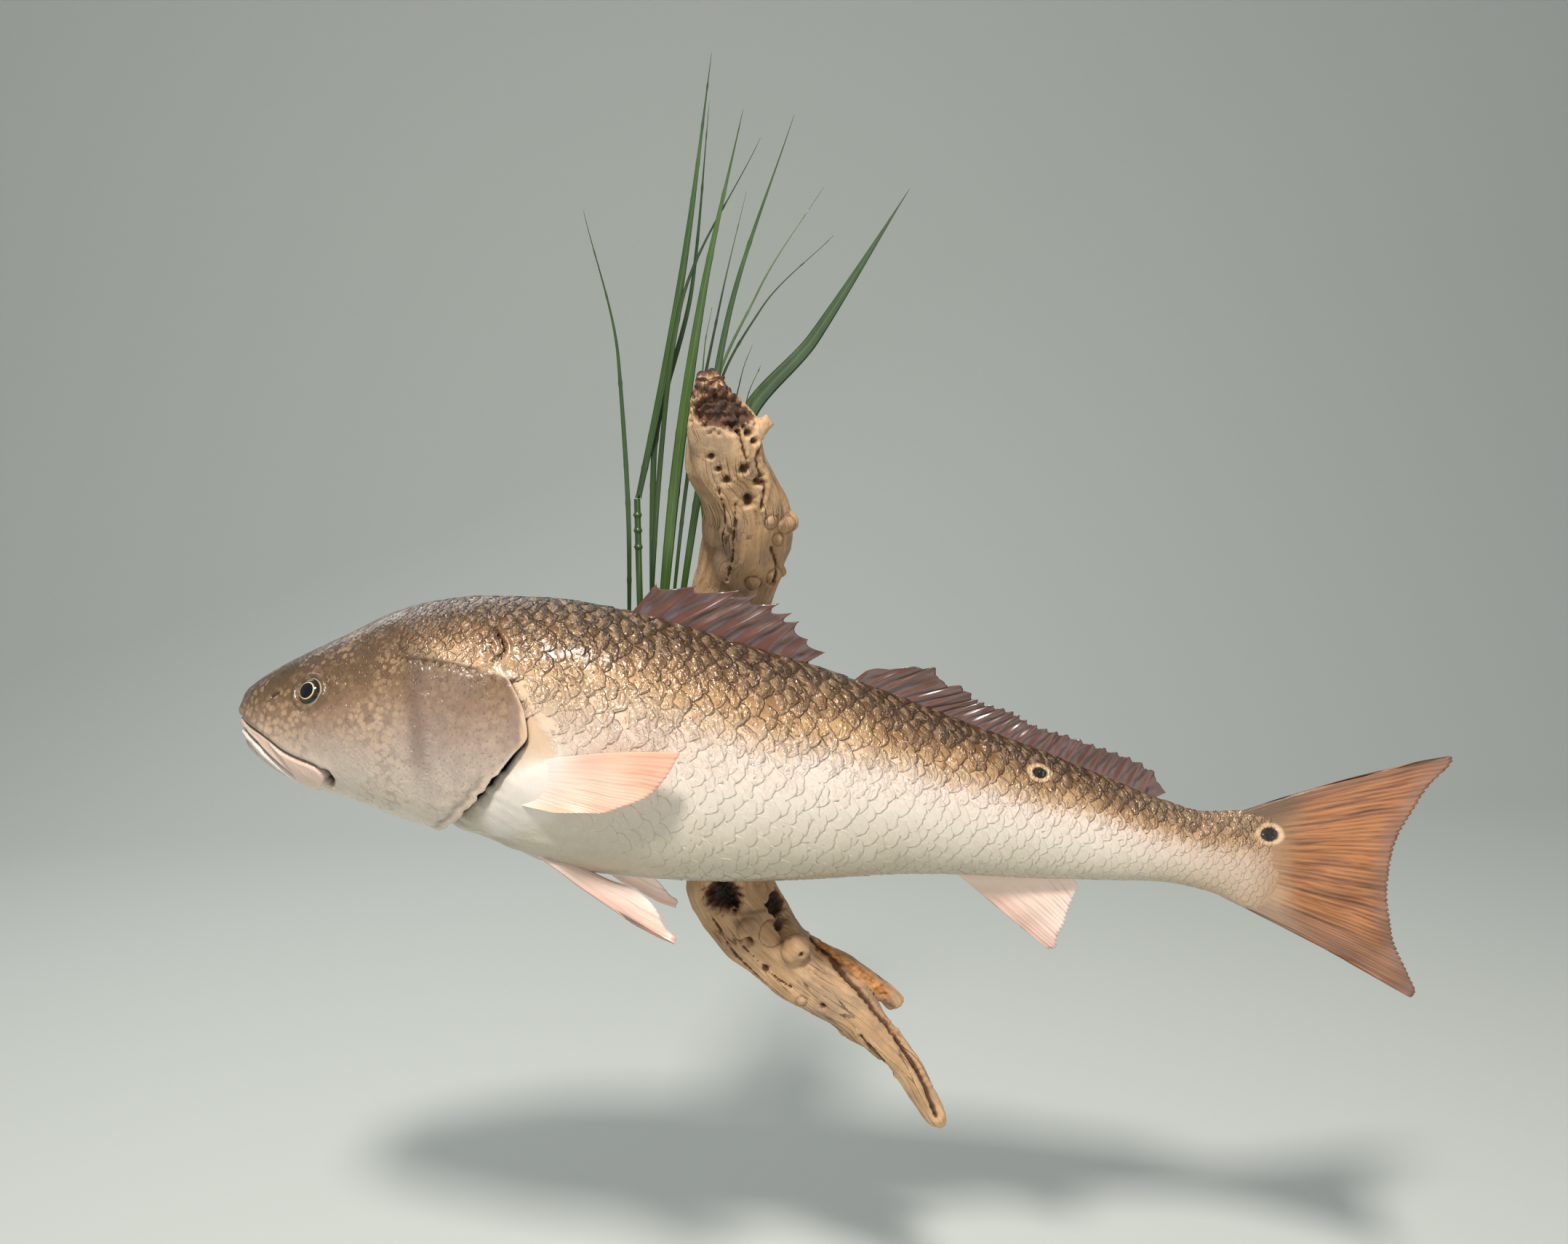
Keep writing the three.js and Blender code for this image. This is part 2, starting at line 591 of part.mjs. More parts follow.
// A short round peg between two points given as x, out, z.
function peg(from, to, radius) {
  const [start, end] = [point(...from), point(...to)];
  const geometry = new THREE.CylinderGeometry(radius * 0.85, radius, start.distanceTo(end), 10);
  const direction = end.clone().sub(start).normalize();
  geometry.applyQuaternion(
    new THREE.Quaternion().setFromUnitVectors(new THREE.Vector3(0, 1, 0), direction),
  );
  const middle = start.lerp(end, 0.5);
  geometry.translate(middle.x, middle.y, middle.z);
  return solid(geometry);
}

function burr(x, out, z, radius) {
  const geometry = new THREE.IcosahedronGeometry(radius, 1);
  geometry.translate(x, -out, z);
  return solid(geometry);
}

function driftwoodSolid() {
  let wood = limb(MAIN_LIMB).add(limb(SIDE_LIMB)).add(peg(STUB.from, STUB.to, STUB.radius));
  KNOTS.forEach((knot) => {
    wood = wood.add(burr(...knot));
  });
  const wall = solid(block([-200, 300], [-80, 0], [-400, 400]));
  return wood.subtract(wall).subtract(clearOfBody);
}

const driftwood = driftwoodSolid();

// ---------------------------------------------------------------- grass

// A strap leaf of plastic: a shallow roof section that tapers to the tip.
function blade([root, low, high, tip, width]) {
  const path = new THREE.CatmullRomCurve3([root, low, high, tip].map((p) => point(...p)));
  const rings = Array.from({ length: BLADE_STEPS + 1 }, (_, i) => {
    const t = i / BLADE_STEPS;
    const along = i === 0 ? new THREE.Vector3(0, 0, 1) : path.getTangentAt(t);
    const sideways = new THREE.Vector3().crossVectors(ACROSS, along).normalize();
    const half = Math.max((width / 2) * (0.62 + 0.38 * Math.sin(Math.PI * t)) * (1 - t ** 2.2), 0.35);
    const rib = BLADE_THICKNESS / 2;
    const centre = path.getPointAt(t);
    return [[half, 0.05], [0, rib], [-half, 0.05], [0, -rib]].map(([aside, out]) =>
      centre.clone().addScaledVector(sideways, aside).addScaledVector(ACROSS, out));
  });
  return loft(rings);
}

// The jointed stem: a rod with low rings where leaves once grew.
function stemProfile() {
  const { z, radius, jointRise, joints } = STEM;
  const profile = [[0, z[0]], [radius, z[0]]];
  joints.forEach((joint) => {
    profile.push([radius, joint - 3], [radius + jointRise, joint - 1]);
    profile.push([radius + jointRise, joint + 1], [radius, joint + 3]);
  });
  profile.push([radius, z[1]], [0, z[1]]);
  return profile.map(([r, height]) => new THREE.Vector2(r, height));
}

function stem() {
  const geometry = new THREE.LatheGeometry(stemProfile(), 8);
  geometry.rotateX(Math.PI / 2);
  geometry.translate(STEM.x, -STEM.out, 0);
  return geometry;
}

// ---------------------------------------------------------------- the scene

const mount = new THREE.Group();

function add(name, shape, material) {
  const geometry = shape.isBufferGeometry ? shape : geometryOf(shape);
  const mesh = new THREE.Mesh(geometry, material);
  mesh.name = name;
  mount.add(mesh);
}

const head = partedHead();
add("head", head.head, CHEEK);
add("gill_cover_left", head.gill_cover_left, CHEEK);
add("gill_cover_right", head.gill_cover_right, CHEEK);
add("upper_jaw", head.upper_jaw, LIP);
add("lower_jaw", head.lower_jaw, LIP);
add("eye_left", eyeball(1, 0), EYE_GLASS);
add("eye_right", eyeball(-1, 0), EYE_GLASS);

const trunk = partedTrunk();
add("trunk", trunk.trunk, BRONZE);
add("tail_stock", trunk.tail_stock, SILVER);

add("dorsal_fin_spiny", spinyDorsalFin(), DORSAL);
add("dorsal_fin_soft", softDorsalFin(), DORSAL);
add("caudal_fin", tailFin(), TAIL);
add("anal_fin", analFin(), PALE_FIN);
add("pectoral_fin_left", pectoralFin(1, PECTORAL_FIN.stand), PALE_FIN);
add("pectoral_fin_right", pectoralFin(-1, PECTORAL_FIN.folded), PALE_FIN);
add("pelvic_fin_left", pelvicFin(1), PALE_FIN);
add("pelvic_fin_right", pelvicFin(-1), PALE_FIN);

add("driftwood", driftwood, WOOD);

const clearOfWood = (geometry) => solid(geometry).subtract(driftwood);
add("grass_base_front", clearOfWood(block(FRONT_BASE.x, FRONT_BASE.out, FRONT_BASE.z)), GRASS);
add("grass_base_rear", clearOfWood(block(REAR_BASE.x, REAR_BASE.out, REAR_BASE.z)), GRASS);
add("grass_stem", stem(), GRASS);
FRONT_BLADES.forEach((row, i) => add(`grass_blade_front_${i + 1}`, blade(row), GRASS));
REAR_BLADES.forEach((row, i) => add(`grass_blade_rear_${i + 1}`, blade(row), GRASS));

export default mount;
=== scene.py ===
"""A mounted red drum on driftwood: its looks, built round its solids.

Sizes are millimetres in the part's own frame until a mesh is made: x runs from the head to the tail,
z is up, and `out` is the distance from the wall, which is -Y. The fish's left side faces out.
"""

import math

import bpy
import numpy as np
from mathutils import Matrix, Vector


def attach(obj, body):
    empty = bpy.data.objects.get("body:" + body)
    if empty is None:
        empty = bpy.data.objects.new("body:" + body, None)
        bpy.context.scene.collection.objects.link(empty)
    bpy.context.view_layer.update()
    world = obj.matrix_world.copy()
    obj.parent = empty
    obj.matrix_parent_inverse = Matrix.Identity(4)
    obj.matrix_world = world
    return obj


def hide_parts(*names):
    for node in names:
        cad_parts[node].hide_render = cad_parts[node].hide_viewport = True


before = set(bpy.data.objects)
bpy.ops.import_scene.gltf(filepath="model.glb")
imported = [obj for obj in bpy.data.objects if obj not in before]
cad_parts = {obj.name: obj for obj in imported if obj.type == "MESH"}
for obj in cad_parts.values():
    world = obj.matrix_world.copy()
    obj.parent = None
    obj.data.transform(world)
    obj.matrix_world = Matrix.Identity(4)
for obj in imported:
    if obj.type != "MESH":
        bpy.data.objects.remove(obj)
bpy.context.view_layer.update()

MM = 0.001
SEED = 7
SIDES = ((1, "left"), (-1, "right"))

# ------------------------------------------------------------------ small helpers


def smooth(low, high, value):
    """0 below low, 1 above high, and a smooth rise between them."""
    t = np.clip((np.asarray(value, float) - low) / (high - low), 0, 1)
    return t * t * (3 - 2 * t)


def bell(value, width):
    """1 at 0 and fading either way, to about a third at `width`."""
    return np.exp(-((np.asarray(value, float) / width) ** 2))


def mix(a, b, part):
    return a + (b - a) * part


def unit(vectors):
    length = np.linalg.norm(vectors, axis=-1, keepdims=True)
    return vectors / np.maximum(length, 1e-9)


def srgb(red, green, blue):
    """A colour given as it looks on a screen, 0 to 255, as the shaders' linear numbers."""
    def linear(value):
        part = value / 255
        return part / 12.92 if part <= 0.04045 else ((part + 0.055) / 1.055) ** 2.4
    return (linear(red), linear(green), linear(blue), 1.0)


def monotone(places, values):
    """A smooth curve through points that never overshoots them."""
    x, v = np.array(places, float), np.array(values, float)
    slope = np.diff(v) / np.diff(x)
    tangent = np.concatenate([slope[:1], np.zeros(len(x) - 2), slope[-1:]])
    for i in range(1, len(x) - 1):
        if slope[i - 1] * slope[i] > 0:
            tangent[i] = 2 * slope[i - 1] * slope[i] / (slope[i - 1] + slope[i])

    def curve(at):
        at = np.clip(at, x[0], x[-1])
        k = np.clip(np.searchsorted(x, at, side="right") - 1, 0, len(x) - 2)
        width = x[k + 1] - x[k]
        t = (at - x[k]) / width
        bend = t * (1 - t) ** 2 * tangent[k] - t * t * (1 - t) * tangent[k + 1]
        return mix(v[k], v[k + 1], t * t * (3 - 2 * t)) + width * bend

    return curve


def resample(points, count):
    """Points spread evenly along a polyline after rounding its corners."""
    points = np.array(points, float)
    step = np.r_[0, np.cumsum(np.linalg.norm(np.diff(points, axis=0), axis=1))]
    at = np.linspace(0, step[-1], count)
    columns = [monotone(step, points[:, k])(at) for k in range(points.shape[1])]
    return np.stack(columns, axis=1)


def random_stream(name):
    return np.random.default_rng([SEED, *name.encode()])


class Ripple:
    """Smooth seeded unevenness in space: a sum of sine waves that run in many directions."""

    def __init__(self, name, size, waves=14):
        draw = random_stream(name)
        self.turns = unit(draw.normal(size=(waves, 3))) * draw.uniform(0.6, 1.6, (waves, 1))
        self.turns *= 2 * math.pi / size
        self.phase = draw.uniform(0, 2 * math.pi, waves)

    def __call__(self, points):
        angles = np.asarray(points, float) @ self.turns.T + self.phase
        return np.sin(angles).sum(axis=-1) / math.sqrt(len(self.phase) / 2)


# ------------------------------------------------------------------ meshes


def to_metres(points):
    """x, out, z in millimetres as the frame's x, y, z in metres."""
    return np.stack([points[..., 0], -points[..., 1], points[..., 2]], axis=-1) * MM


def as_corners(faces):
    """Faces as one long row of corners, and each face's own count of them."""
    sizes = np.array([len(face) for face in faces])
    return np.concatenate([np.asarray(face) for face in faces]), sizes


def repeated(faces, count, step):
    """The same faces for `count` copies of their points, `step` points apart."""
    corners, sizes = as_corners(faces)
    shift = np.arange(count)[:, None] * step
    return (corners + shift).ravel(), np.tile(sizes, count)


def in_scene(name, data):
    thing = bpy.data.objects.new(name, data)
    bpy.context.scene.collection.objects.link(thing)
    return thing


def make_mesh(name, points, faces, values=None, bake_map=None, smooth_faces=None):
    """A smooth shaded object. `values` maps a name to one number per point."""
    corners, sizes = faces if isinstance(faces, tuple) else as_corners(faces)
    mesh = bpy.data.meshes.new(name)
    mesh.vertices.add(len(points))
    mesh.vertices.foreach_set("co", to_metres(points).astype(np.float32).ravel())
    mesh.loops.add(len(corners))
    mesh.loops.foreach_set("vertex_index", corners.astype(np.int32))
    mesh.polygons.add(len(sizes))
    mesh.polygons.foreach_set("loop_start", np.r_[0, np.cumsum(sizes)[:-1]].astype(np.int32))
    mesh.update(calc_edges=True)
    mesh.shade_smooth()
    if smooth_faces is not None:
        mesh.polygons.foreach_set("use_smooth", smooth_faces)
    for key, numbers in (values or {}).items():
        layer = mesh.attributes.new(key, "FLOAT", "POINT")
        layer.data.foreach_set("value", np.asarray(numbers, np.float32).ravel())
    if bake_map is not None:
        layer = mesh.uv_layers.new(name="OFBake")
        layer.data.foreach_set("uv", bake_map[corners].astype(np.float32).ravel())
    return in_scene(name, mesh)


def grid_faces(rows, columns, closed=False):
    """Four-cornered faces over a grid of points, wound to face along row x column."""
    across = columns if closed else columns - 1
    i, j = np.meshgrid(np.arange(rows - 1), np.arange(across), indexing="ij")
    k = (j + 1) % columns
    corners = [i * columns + j, i * columns + k, (i + 1) * columns + k, (i + 1) * columns + j]
    return np.stack([c.ravel() for c in corners], axis=1)


def shell(rings):
    """Points and outward faces of a closed skin over rings of points, with a fan at each end."""
    rows, columns = rings.shape[:2]
    faces = grid_faces(rows, columns, closed=True)
    points = np.vstack([rings.reshape(-1, 3), rings[0].mean(axis=0), rings[-1].mean(axis=0)])
    first = np.arange(columns)
    last = first + (rows - 1) * columns
    start_hub, end_hub = np.full(columns, rows * columns), np.full(columns, rows * columns + 1)
    fans = [
        np.stack([start_hub, np.roll(first, -1), first], axis=1),
        np.stack([end_hub, last, np.roll(last, -1)], axis=1),
    ]
    if volume(points, faces) < 0:
        faces, fans = faces[:, ::-1], [fan[:, ::-1] for fan in fans]
    return points, [*faces, *fans[0], *fans[1]]


def volume(points, faces):
    """The volume within four-cornered faces, below 0 if they are wound inwards."""
    a, b, c, d = (to_metres(points)[faces[:, k]] for k in range(4))
    return sum(np.einsum("ij,ij->i", a, np.cross(p, q)).sum() for p, q in ((b, c), (c, d)))


def with_hubs(numbers, rows, columns):
    """One number per ring point, with the two ends' middles added."""
    grid = np.asarray(numbers, float).reshape(rows, columns)
    return np.r_[grid.ravel(), grid[0].mean(), grid[-1].mean()]


def add_piece(thing, material, slot, *nodes):
    """Dresses a piece, lets it ride on the mount and stand for the nodes named."""
    thing.data.materials.append(material)
    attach(thing, "root")
    if nodes:
        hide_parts(*nodes)
    return thing


# ------------------------------------------------------------------ paint


class Value:
    """A number that varies over a surface. Arithmetic on it adds Math nodes."""

    def __init__(self, paint, socket):
        self.paint, self.socket = paint, socket

    def __add__(self, other):
        return self.paint.math("ADD", self, other)

    def __sub__(self, other):
        return self.paint.math("SUBTRACT", self, other)

    def __rsub__(self, other):
        return self.paint.math("SUBTRACT", other, self)

    def __mul__(self, other):
        return self.paint.math("MULTIPLY", self, other)

    __radd__ = __add__
    __rmul__ = __mul__

    def power(self, exponent):
        return self.paint.math("POWER", self, exponent)

    def above(self, low, high):
        """0 below low and 1 above high."""
        settings = {"interpolation_type": "SMOOTHSTEP"}
        inputs = {"Value": self, "From Min": low, "From Max": high}
        return self.paint.node("ShaderNodeMapRange", settings, inputs)["Result"]


class Paint:
    """One finish: a Principled surface and the nodes that feed it."""

    def __init__(self, name, **constants):
        self.material = bpy.data.materials.new(name)
        self.material.use_nodes = True
        self.tree = self.material.node_tree
        self.surface = self.tree.nodes["Principled BSDF"]
        for socket, value in constants.items():
            self.surface.inputs[socket.replace("_", " ")].default_value = value

    def node(self, kind, settings=None, inputs=None):
        made = self.tree.nodes.new(kind)
        for key, value in (settings or {}).items():
            if key == "stops":
                self.set_stops(made.color_ramp, value)
            else:
                setattr(made, key, value)
        for key, value in (inputs or {}).items():
            self.feed(made.inputs[key], value)
        return {out.name: Value(self, out) for out in made.outputs if out.enabled}

    def set_stops(self, ramp, stops):
        while len(ramp.elements) < len(stops):
            ramp.elements.new(1.0)
        for element, (place, color) in zip(ramp.elements, stops):
            element.position = place
            element.color = color

    def feed(self, socket, value):
        if isinstance(value, Value):
            self.tree.links.new(value.socket, socket)
        else:
            socket.default_value = value

    def math(self, operation, *values):
        settings = {"operation": operation}
        return self.node("ShaderNodeMath", settings, dict(enumerate(values)))["Value"]

    def carried(self, name):
        """A number that the mesh carries at each point."""
        settings = {"attribute_name": name, "attribute_type": "GEOMETRY"}
        return self.node("ShaderNodeAttribute", settings)["Fac"]

    def place(self, scale=(1, 1, 1)):
        """Where a point is on the part, in metres, stretched by `scale`."""
        here = self.node("ShaderNodeTexCoord")["Object"]
        inputs = {"Vector": here, "Scale": scale}
        return self.node("ShaderNodeMapping", None, inputs)["Vector"]

    def millimetres(self):
        """Where a point is along the fish and in height."""
        here = self.node("ShaderNodeTexCoord")["Object"]
        apart = self.node("ShaderNodeSeparateXYZ", None, {"Vector": here})
        return apart["X"] * (1 / MM), apart["Z"] * (1 / MM)

    def grain(self, across, along):
        """A place to read textures at, from two numbers that follow the form."""
        return self.node("ShaderNodeCombineXYZ", None, {"X": across, "Y": along})["Vector"]

    def noise(self, scale, detail=4.0, roughness=0.55, stretch=(1, 1, 1), distortion=0.0, at=None):
        inputs = {
            "Vector": self.place(stretch) if at is None else at, "Scale": scale, "Detail": detail,
            "Roughness": roughness, "Distortion": distortion,
        }
        return self.node("ShaderNodeTexNoise", None, inputs)["Fac"]

    def cells(self, scale, feature="F1", at=None):
        inputs = {"Vector": self.place() if at is None else at, "Scale": scale}
        return self.node("ShaderNodeTexVoronoi", {"feature": feature}, inputs)["Distance"]

    def ramp(self, value, stops):
        return self.node("ShaderNodeValToRGB", {"stops": stops}, {"Fac": value})["Color"]

    def blend(self, part, low, high, how="MIX"):
        """One colour into another as `part` goes from 0 to 1."""
        made = self.tree.nodes.new("ShaderNodeMix")
        made.data_type, made.blend_type = "RGBA", how
        colors = [socket for socket in made.inputs if socket.type == "RGBA"]
        for socket, value in zip([made.inputs[0], *colors], (part, low, high)):
            self.feed(socket, value)
        return Value(self, next(out for out in made.outputs if out.type == "RGBA"))

    def relief(self, height, distance, strength):
        inputs = {"Height": height, "Distance": distance, "Strength": strength}
        return self.node("ShaderNodeBump", None, inputs)["Normal"]

    def show(self, **sockets):
        for socket, value in sockets.items():
            self.feed(self.surface.inputs[socket.replace("_", " ")], value)
        return self.material


# ------------------------------------------------------------------ the shape of the fish

# Station by station: x, top of the back, underside, half width, middle's distance out.
STATIONS = [
    (-409, 51.5, 48.5, 1.5, 86),
    (-408, 60, 41, 9, 86),
    (-404.5, 66.5, 21, 16, 87),
    (-397.5, 72.5, 13.5, 24, 89),
    (-387, 79.5, 6.5, 32, 92),
    (-370, 89, -4, 40, 95),
    (-345, 101, -13.5, 47, 99),
    (-315, 114.5, -22, 54, 103),
    (-280, 130.5, -35, 60.5, 107),
    (-245, 139.5, -43.5, 65, 110),
    (-205, 143, -55, 67.5, 113),
    (-160, 141.5, -76.5, 68.5, 115),
    (-110, 133.5, -87.5, 68, 116),
    (-60, 120.5, -93.5, 65.5, 116),
    (0, 100.5, -97.5, 60.5, 115),
    (60, 80, -98.5, 53.5, 113),
    (120, 56.5, -98, 46, 111),
    (180, 31.5, -101.5, 38, 109),
    (240, 7.5, -107, 30, 109),
    (300, -18.5, -110.5, 22.5, 111),
    (350, -39.5, -112.5, 17.5, 116),
    (388, -50, -120.5, 14, 121),
    (425, -48, -137, 7, 127),
    (440, -47.5, -140.5, 4.6, 128.7),
    (452, -49, -139, 2.8, 130.2),
    (458, -55, -131, 1, 131),
]
SNOUT_X, TAIL_X = STATIONS[0][0], STATIONS[-1][0]
BACK_FULLNESS, BELLY_FULLNESS = 1.08, 0.86

station_x = [row[0] for row in STATIONS]
top_at, bottom_at, half_width_at, middle_at = (
    monotone(station_x, [row[k] for row in STATIONS]) for k in range(1, 5)
)


def widest_at(x):
    """The height at which the fish is widest."""
    return (top_at(x) + bottom_at(x)) / 2


def half_at(x, z):
    """Half the fish's width at a height z of station x."""
    reach = (top_at(x) - bottom_at(x)) / 2
    rise = np.clip(np.abs(z - widest_at(x)) / reach, 0, 1)
    fullness = np.where(z > widest_at(x), BACK_FULLNESS, BELLY_FULLNESS)
    return half_width_at(x) * np.sqrt(1 - rise**2) ** fullness


def body_point(x, angle, side):
    """On the skin: angle runs from -90 degrees under the belly to 90 on the back."""
    rise, across = np.sin(angle), np.maximum(np.cos(angle), 0)
    fullness = np.where(rise > 0, BACK_FULLNESS, BELLY_FULLNESS)
    aside = across**fullness * half_width_at(x)
    z = widest_at(x) + rise * (top_at(x) - bottom_at(x)) / 2
    return np.stack([x + 0 * aside, middle_at(x) + side * aside, z], axis=-1)


def body_normal(x, angle, side):
    """Out of the skin, from small steps along and round the body."""
    step_x, step_angle = 0.25, 0.01
    low = np.maximum(x - step_x, SNOUT_X)
    along = body_point(low + 2 * step_x, angle, side) - body_point(low, angle, side)
    low = np.clip(angle - step_angle, -math.pi / 2, math.pi / 2 - 2 * step_angle)
    around = body_point(x, low + 2 * step_angle, side) - body_point(x, low, side)
    normal = np.cross(along, around) * -np.asarray(side, float)[..., None]
    return unit(normal)


# ------------------------------------------------------------------ the lines of the head, as x, z

GILL_EDGE = [
    (-198, 125), (-192, 101), (-180, 83), (-170, 60), (-168, 43),
    (-180, 28), (-200, 5), (-222, -20), (-246, -40), (-262, -55),
]
LIP_GROOVE = [
    (-408.9, 47.5), (-407.6, 47.6), (-403, 47), (-398, 44.5), (-385, 39.5), (-374, 33.5),
    (-365, 27), (-355, 22), (-345, 18.5), (-337, 15.5), (-331, 10),
]
MOUTH_SLIT = [
    (-407.8, 39.8), (-406.5, 39.4), (-404.5, 39), (-400, 37.5), (-395, 34.5), (-388, 30),
    (-382, 24), (-374, 17), (-367, 10), (-361, 4), (-355, -3),
]
MAXILLA = [
    (-375, 32), (-365, 25.5), (-355, 20.5), (-345, 17), (-338, 14), (-332.5, 9.5), (-332, 4),
    (-335.5, -3), (-342, -9), (-349, -9.5), (-355, -3.5), (-359, 10), (-364, 20),
]
LOWER_LIP_EDGE = [(-405.5, 29), (-400, 26.5), (-394, 21.5), (-386, 15), (-378, 8.5), (-370, 3)]
PREOPERCLE = [(-244, 92), (-252, 88), (-246, 73), (-245, 48), (-248, 30), (-251, 11), (-256, -6)]
NAPE_SUTURE = [(-264, 101), (-243, 99), (-225, 97), (-207, 93), (-196, 95)]
NOTCH = [(-202, 92), (-195, 95), (-188, 101), (-185, 108), (-189, 115), (-194, 122), (-198, 130)]
BARE_PATCH = [
    (-172, 74), (-165, 63), (-157, 48), (-147, 36), (-146, 24), (-160, 20), (-180, 12), (-172, 44),
]
FIN_ROOT_PATCH = [
    (-166, 22), (-184, 12), (-197, -6), (-208, -30), (-196, -44), (-172, -34), (-150, -19),
    (-144, 0), (-150, 20),
]
EYE = (-339, 74)
NOSTRIL = [(-372.5, 67.6), (-369.5, 69.4), (-366, 71)]
JAW_PIT = [(-329, 9.5), (-327.5, 4), (-329.5, -1.5)]
FRONT_NOSTRIL = (-382, 66.5)
JAW_BEAD = (-327.5, -5.5)
CHEEK = (-290, 40)


def on_skin(line, count=48):
    """A side-view line laid on the fish's left half: x, aside, z."""
    line = resample(line, count)
    return np.stack([line[:, 0], half_at(line[:, 0], line[:, 1]), line[:, 1]], axis=1)


def reach_to(points, line, closed=False):
    """Distance to a line on the skin, and whether a point is above it (or inside it)."""
    if closed:
        line = np.vstack([line, line[:1]])
    far = 1e3
    distance, above = np.full(len(points), far), np.zeros(len(points), bool)
    margin = 32
    low, high = line.min(axis=0) - margin, line.max(axis=0) + margin
    near = np.all((points > low) & (points < high), axis=1)
    p = points[near]
    best = np.full(len(p), far)
    over = np.zeros(len(p), bool)
    inside = np.zeros(len(p), bool)
    for a, b in zip(line[:-1], line[1:]):
        run = b - a
        part = np.clip((p - a) @ run / max(run @ run, 1e-9), 0, 1)
        gap = np.linalg.norm(p - (a + part[:, None] * run), axis=1)
        turn = run[0] * (p[:, 2] - a[2]) - run[2] * (p[:, 0] - a[0])
        closer = gap < best
        over[closer] = turn[closer] > 0
        best = np.minimum(best, gap)
        crosses = (a[2] > p[:, 2]) != (b[2] > p[:, 2])
        lift = np.where(abs(run[2]) > 1e-9, run[2], 1e-9)
        inside ^= crosses & (p[:, 0] < a[0] + (p[:, 2] - a[2]) * run[0] / lift)
    distance[near] = best
    above[near] = inside if closed else over
    return distance, above


def patch(points, outline, edge):
    """1 inside an outline on the skin and 0 outside, with a soft edge this wide."""
    distance, inside = reach_to(points, on_skin(outline + outline[:1], 64), closed=True)
    return smooth(-edge / 2, edge / 2, np.where(inside, distance, -distance))


def spot_reach(points, place):
    """Distance to a place on the left side, given as x and z."""
    centre = np.array([place[0], half_at(*place), place[1]])
    return np.linalg.norm(points - centre, axis=1)


# ------------------------------------------------------------------ the grid of the skin

HALF_COLUMNS = 119
FOLD_X = -200.0  # where the gill fold's rows lie before they are bent to the gill edge
FOLD_REACH = 112.0
EDGE_PASSES = 12  # how often the edge's station is improved, as it depends on its own height
FOLD_TURN = 8  # the row of the fold where the cover's inner side ends and the trunk begins
# Round the free edge of the gill cover: how far behind the edge, and how deep under the skin.
WIDE_FOLD = [
    (0.8, 0.5), (0.9, 1.4), (0.2, 2.2), (-1.5, 2.8), (-4, 3.4), (-7, 4.2), (-9, 5.4), (-9.6, 7),
    (-8.2, 8.4), (-5, 9), (-1, 8.8), (3, 7.4), (6.5, 5.2), (10, 3), (14, 1.3), (18, 0.3),
]
NARROW_FOLD = [
    (0.5, 0.3), (0.7, 0.8), (0.4, 1.3), (-0.4, 1.7), (-1.3, 2), (-2, 2.3), (-2.4, 2.6), (-2.3, 3),
    (-1.7, 3.3), (-0.7, 3.3), (0.5, 2.8), (2, 2.1), (4.5, 1.3), (8, 0.7), (12.5, 0.3), (18, 0),
]
MOUTH_HEIGHTS = ([-409, -395, -361, -335], [43, 39, 13, 3])  # stations, and the mouth's height there
ROW_STEPS = [(-409, 0.8), (-335, 1.0), (-300, 1.5), (-215, 1.7), (-140, 2.6), (0, 3.3), (458, 3.3)]


def row_places():
    """Stations for the skin's rows, closest together on the snout, and which of them fold."""
    step_at = monotone(*zip(*ROW_STEPS))
    fine = np.linspace(SNOUT_X, TAIL_X, 6000)
    girth = (top_at(fine) - bottom_at(fine)) / 4 + half_width_at(fine) / 2
    length = np.hypot(np.diff(fine), np.diff(girth))
    count = np.r_[0, np.cumsum(length / step_at(fine[1:]))]

    def spread(start, end):
        a, b = np.interp([start, end], fine, count)
        return np.interp(np.linspace(a, b, int(round(b - a)) + 1), count, fine)

    fold_end = FOLD_X + WIDE_FOLD[-1][0]
    ahead, behind = spread(SNOUT_X, FOLD_X), spread(fold_end, TAIL_X)
    fold = FOLD_X + np.linspace(0, fold_end - FOLD_X, len(WIDE_FOLD) + 1)[1:-1]
    places = np.concatenate([ahead, fold, behind])
    first = len(ahead)
    return places, np.arange(first, first + len(WIDE_FOLD))


def column_angles(x):
    """Angles up one side at station x, closer together along the mouth and the eye."""
    fine = np.linspace(-math.pi / 2, math.pi / 2, 721)
    ring = body_point(np.full_like(fine, x), fine, 1.0)
    length = np.linalg.norm(np.diff(ring, axis=0), axis=1)
    z = (ring[1:, 2] + ring[:-1, 2]) / 2
    mouth_z = np.interp(x, *MOUTH_HEIGHTS)
    at_mouth = 2.2 * bell(z - mouth_z, 14) * (1 - smooth(-338, -300, x))
    at_eye = 0.7 * bell(z - EYE[1], 15) * bell(x - EYE[0], 34)
    weight = length * (1 + at_mouth + at_eye)
    total = np.r_[0, np.cumsum(weight)]
    return np.interp(np.linspace(0, total[-1], HALF_COLUMNS), total, fine)


def gill_edge_at(z):
    """The station of the gill cover's free edge at a height."""
    line = np.array(GILL_EDGE[::-1], float)
    return monotone(line[:, 1], line[:, 0])(z)


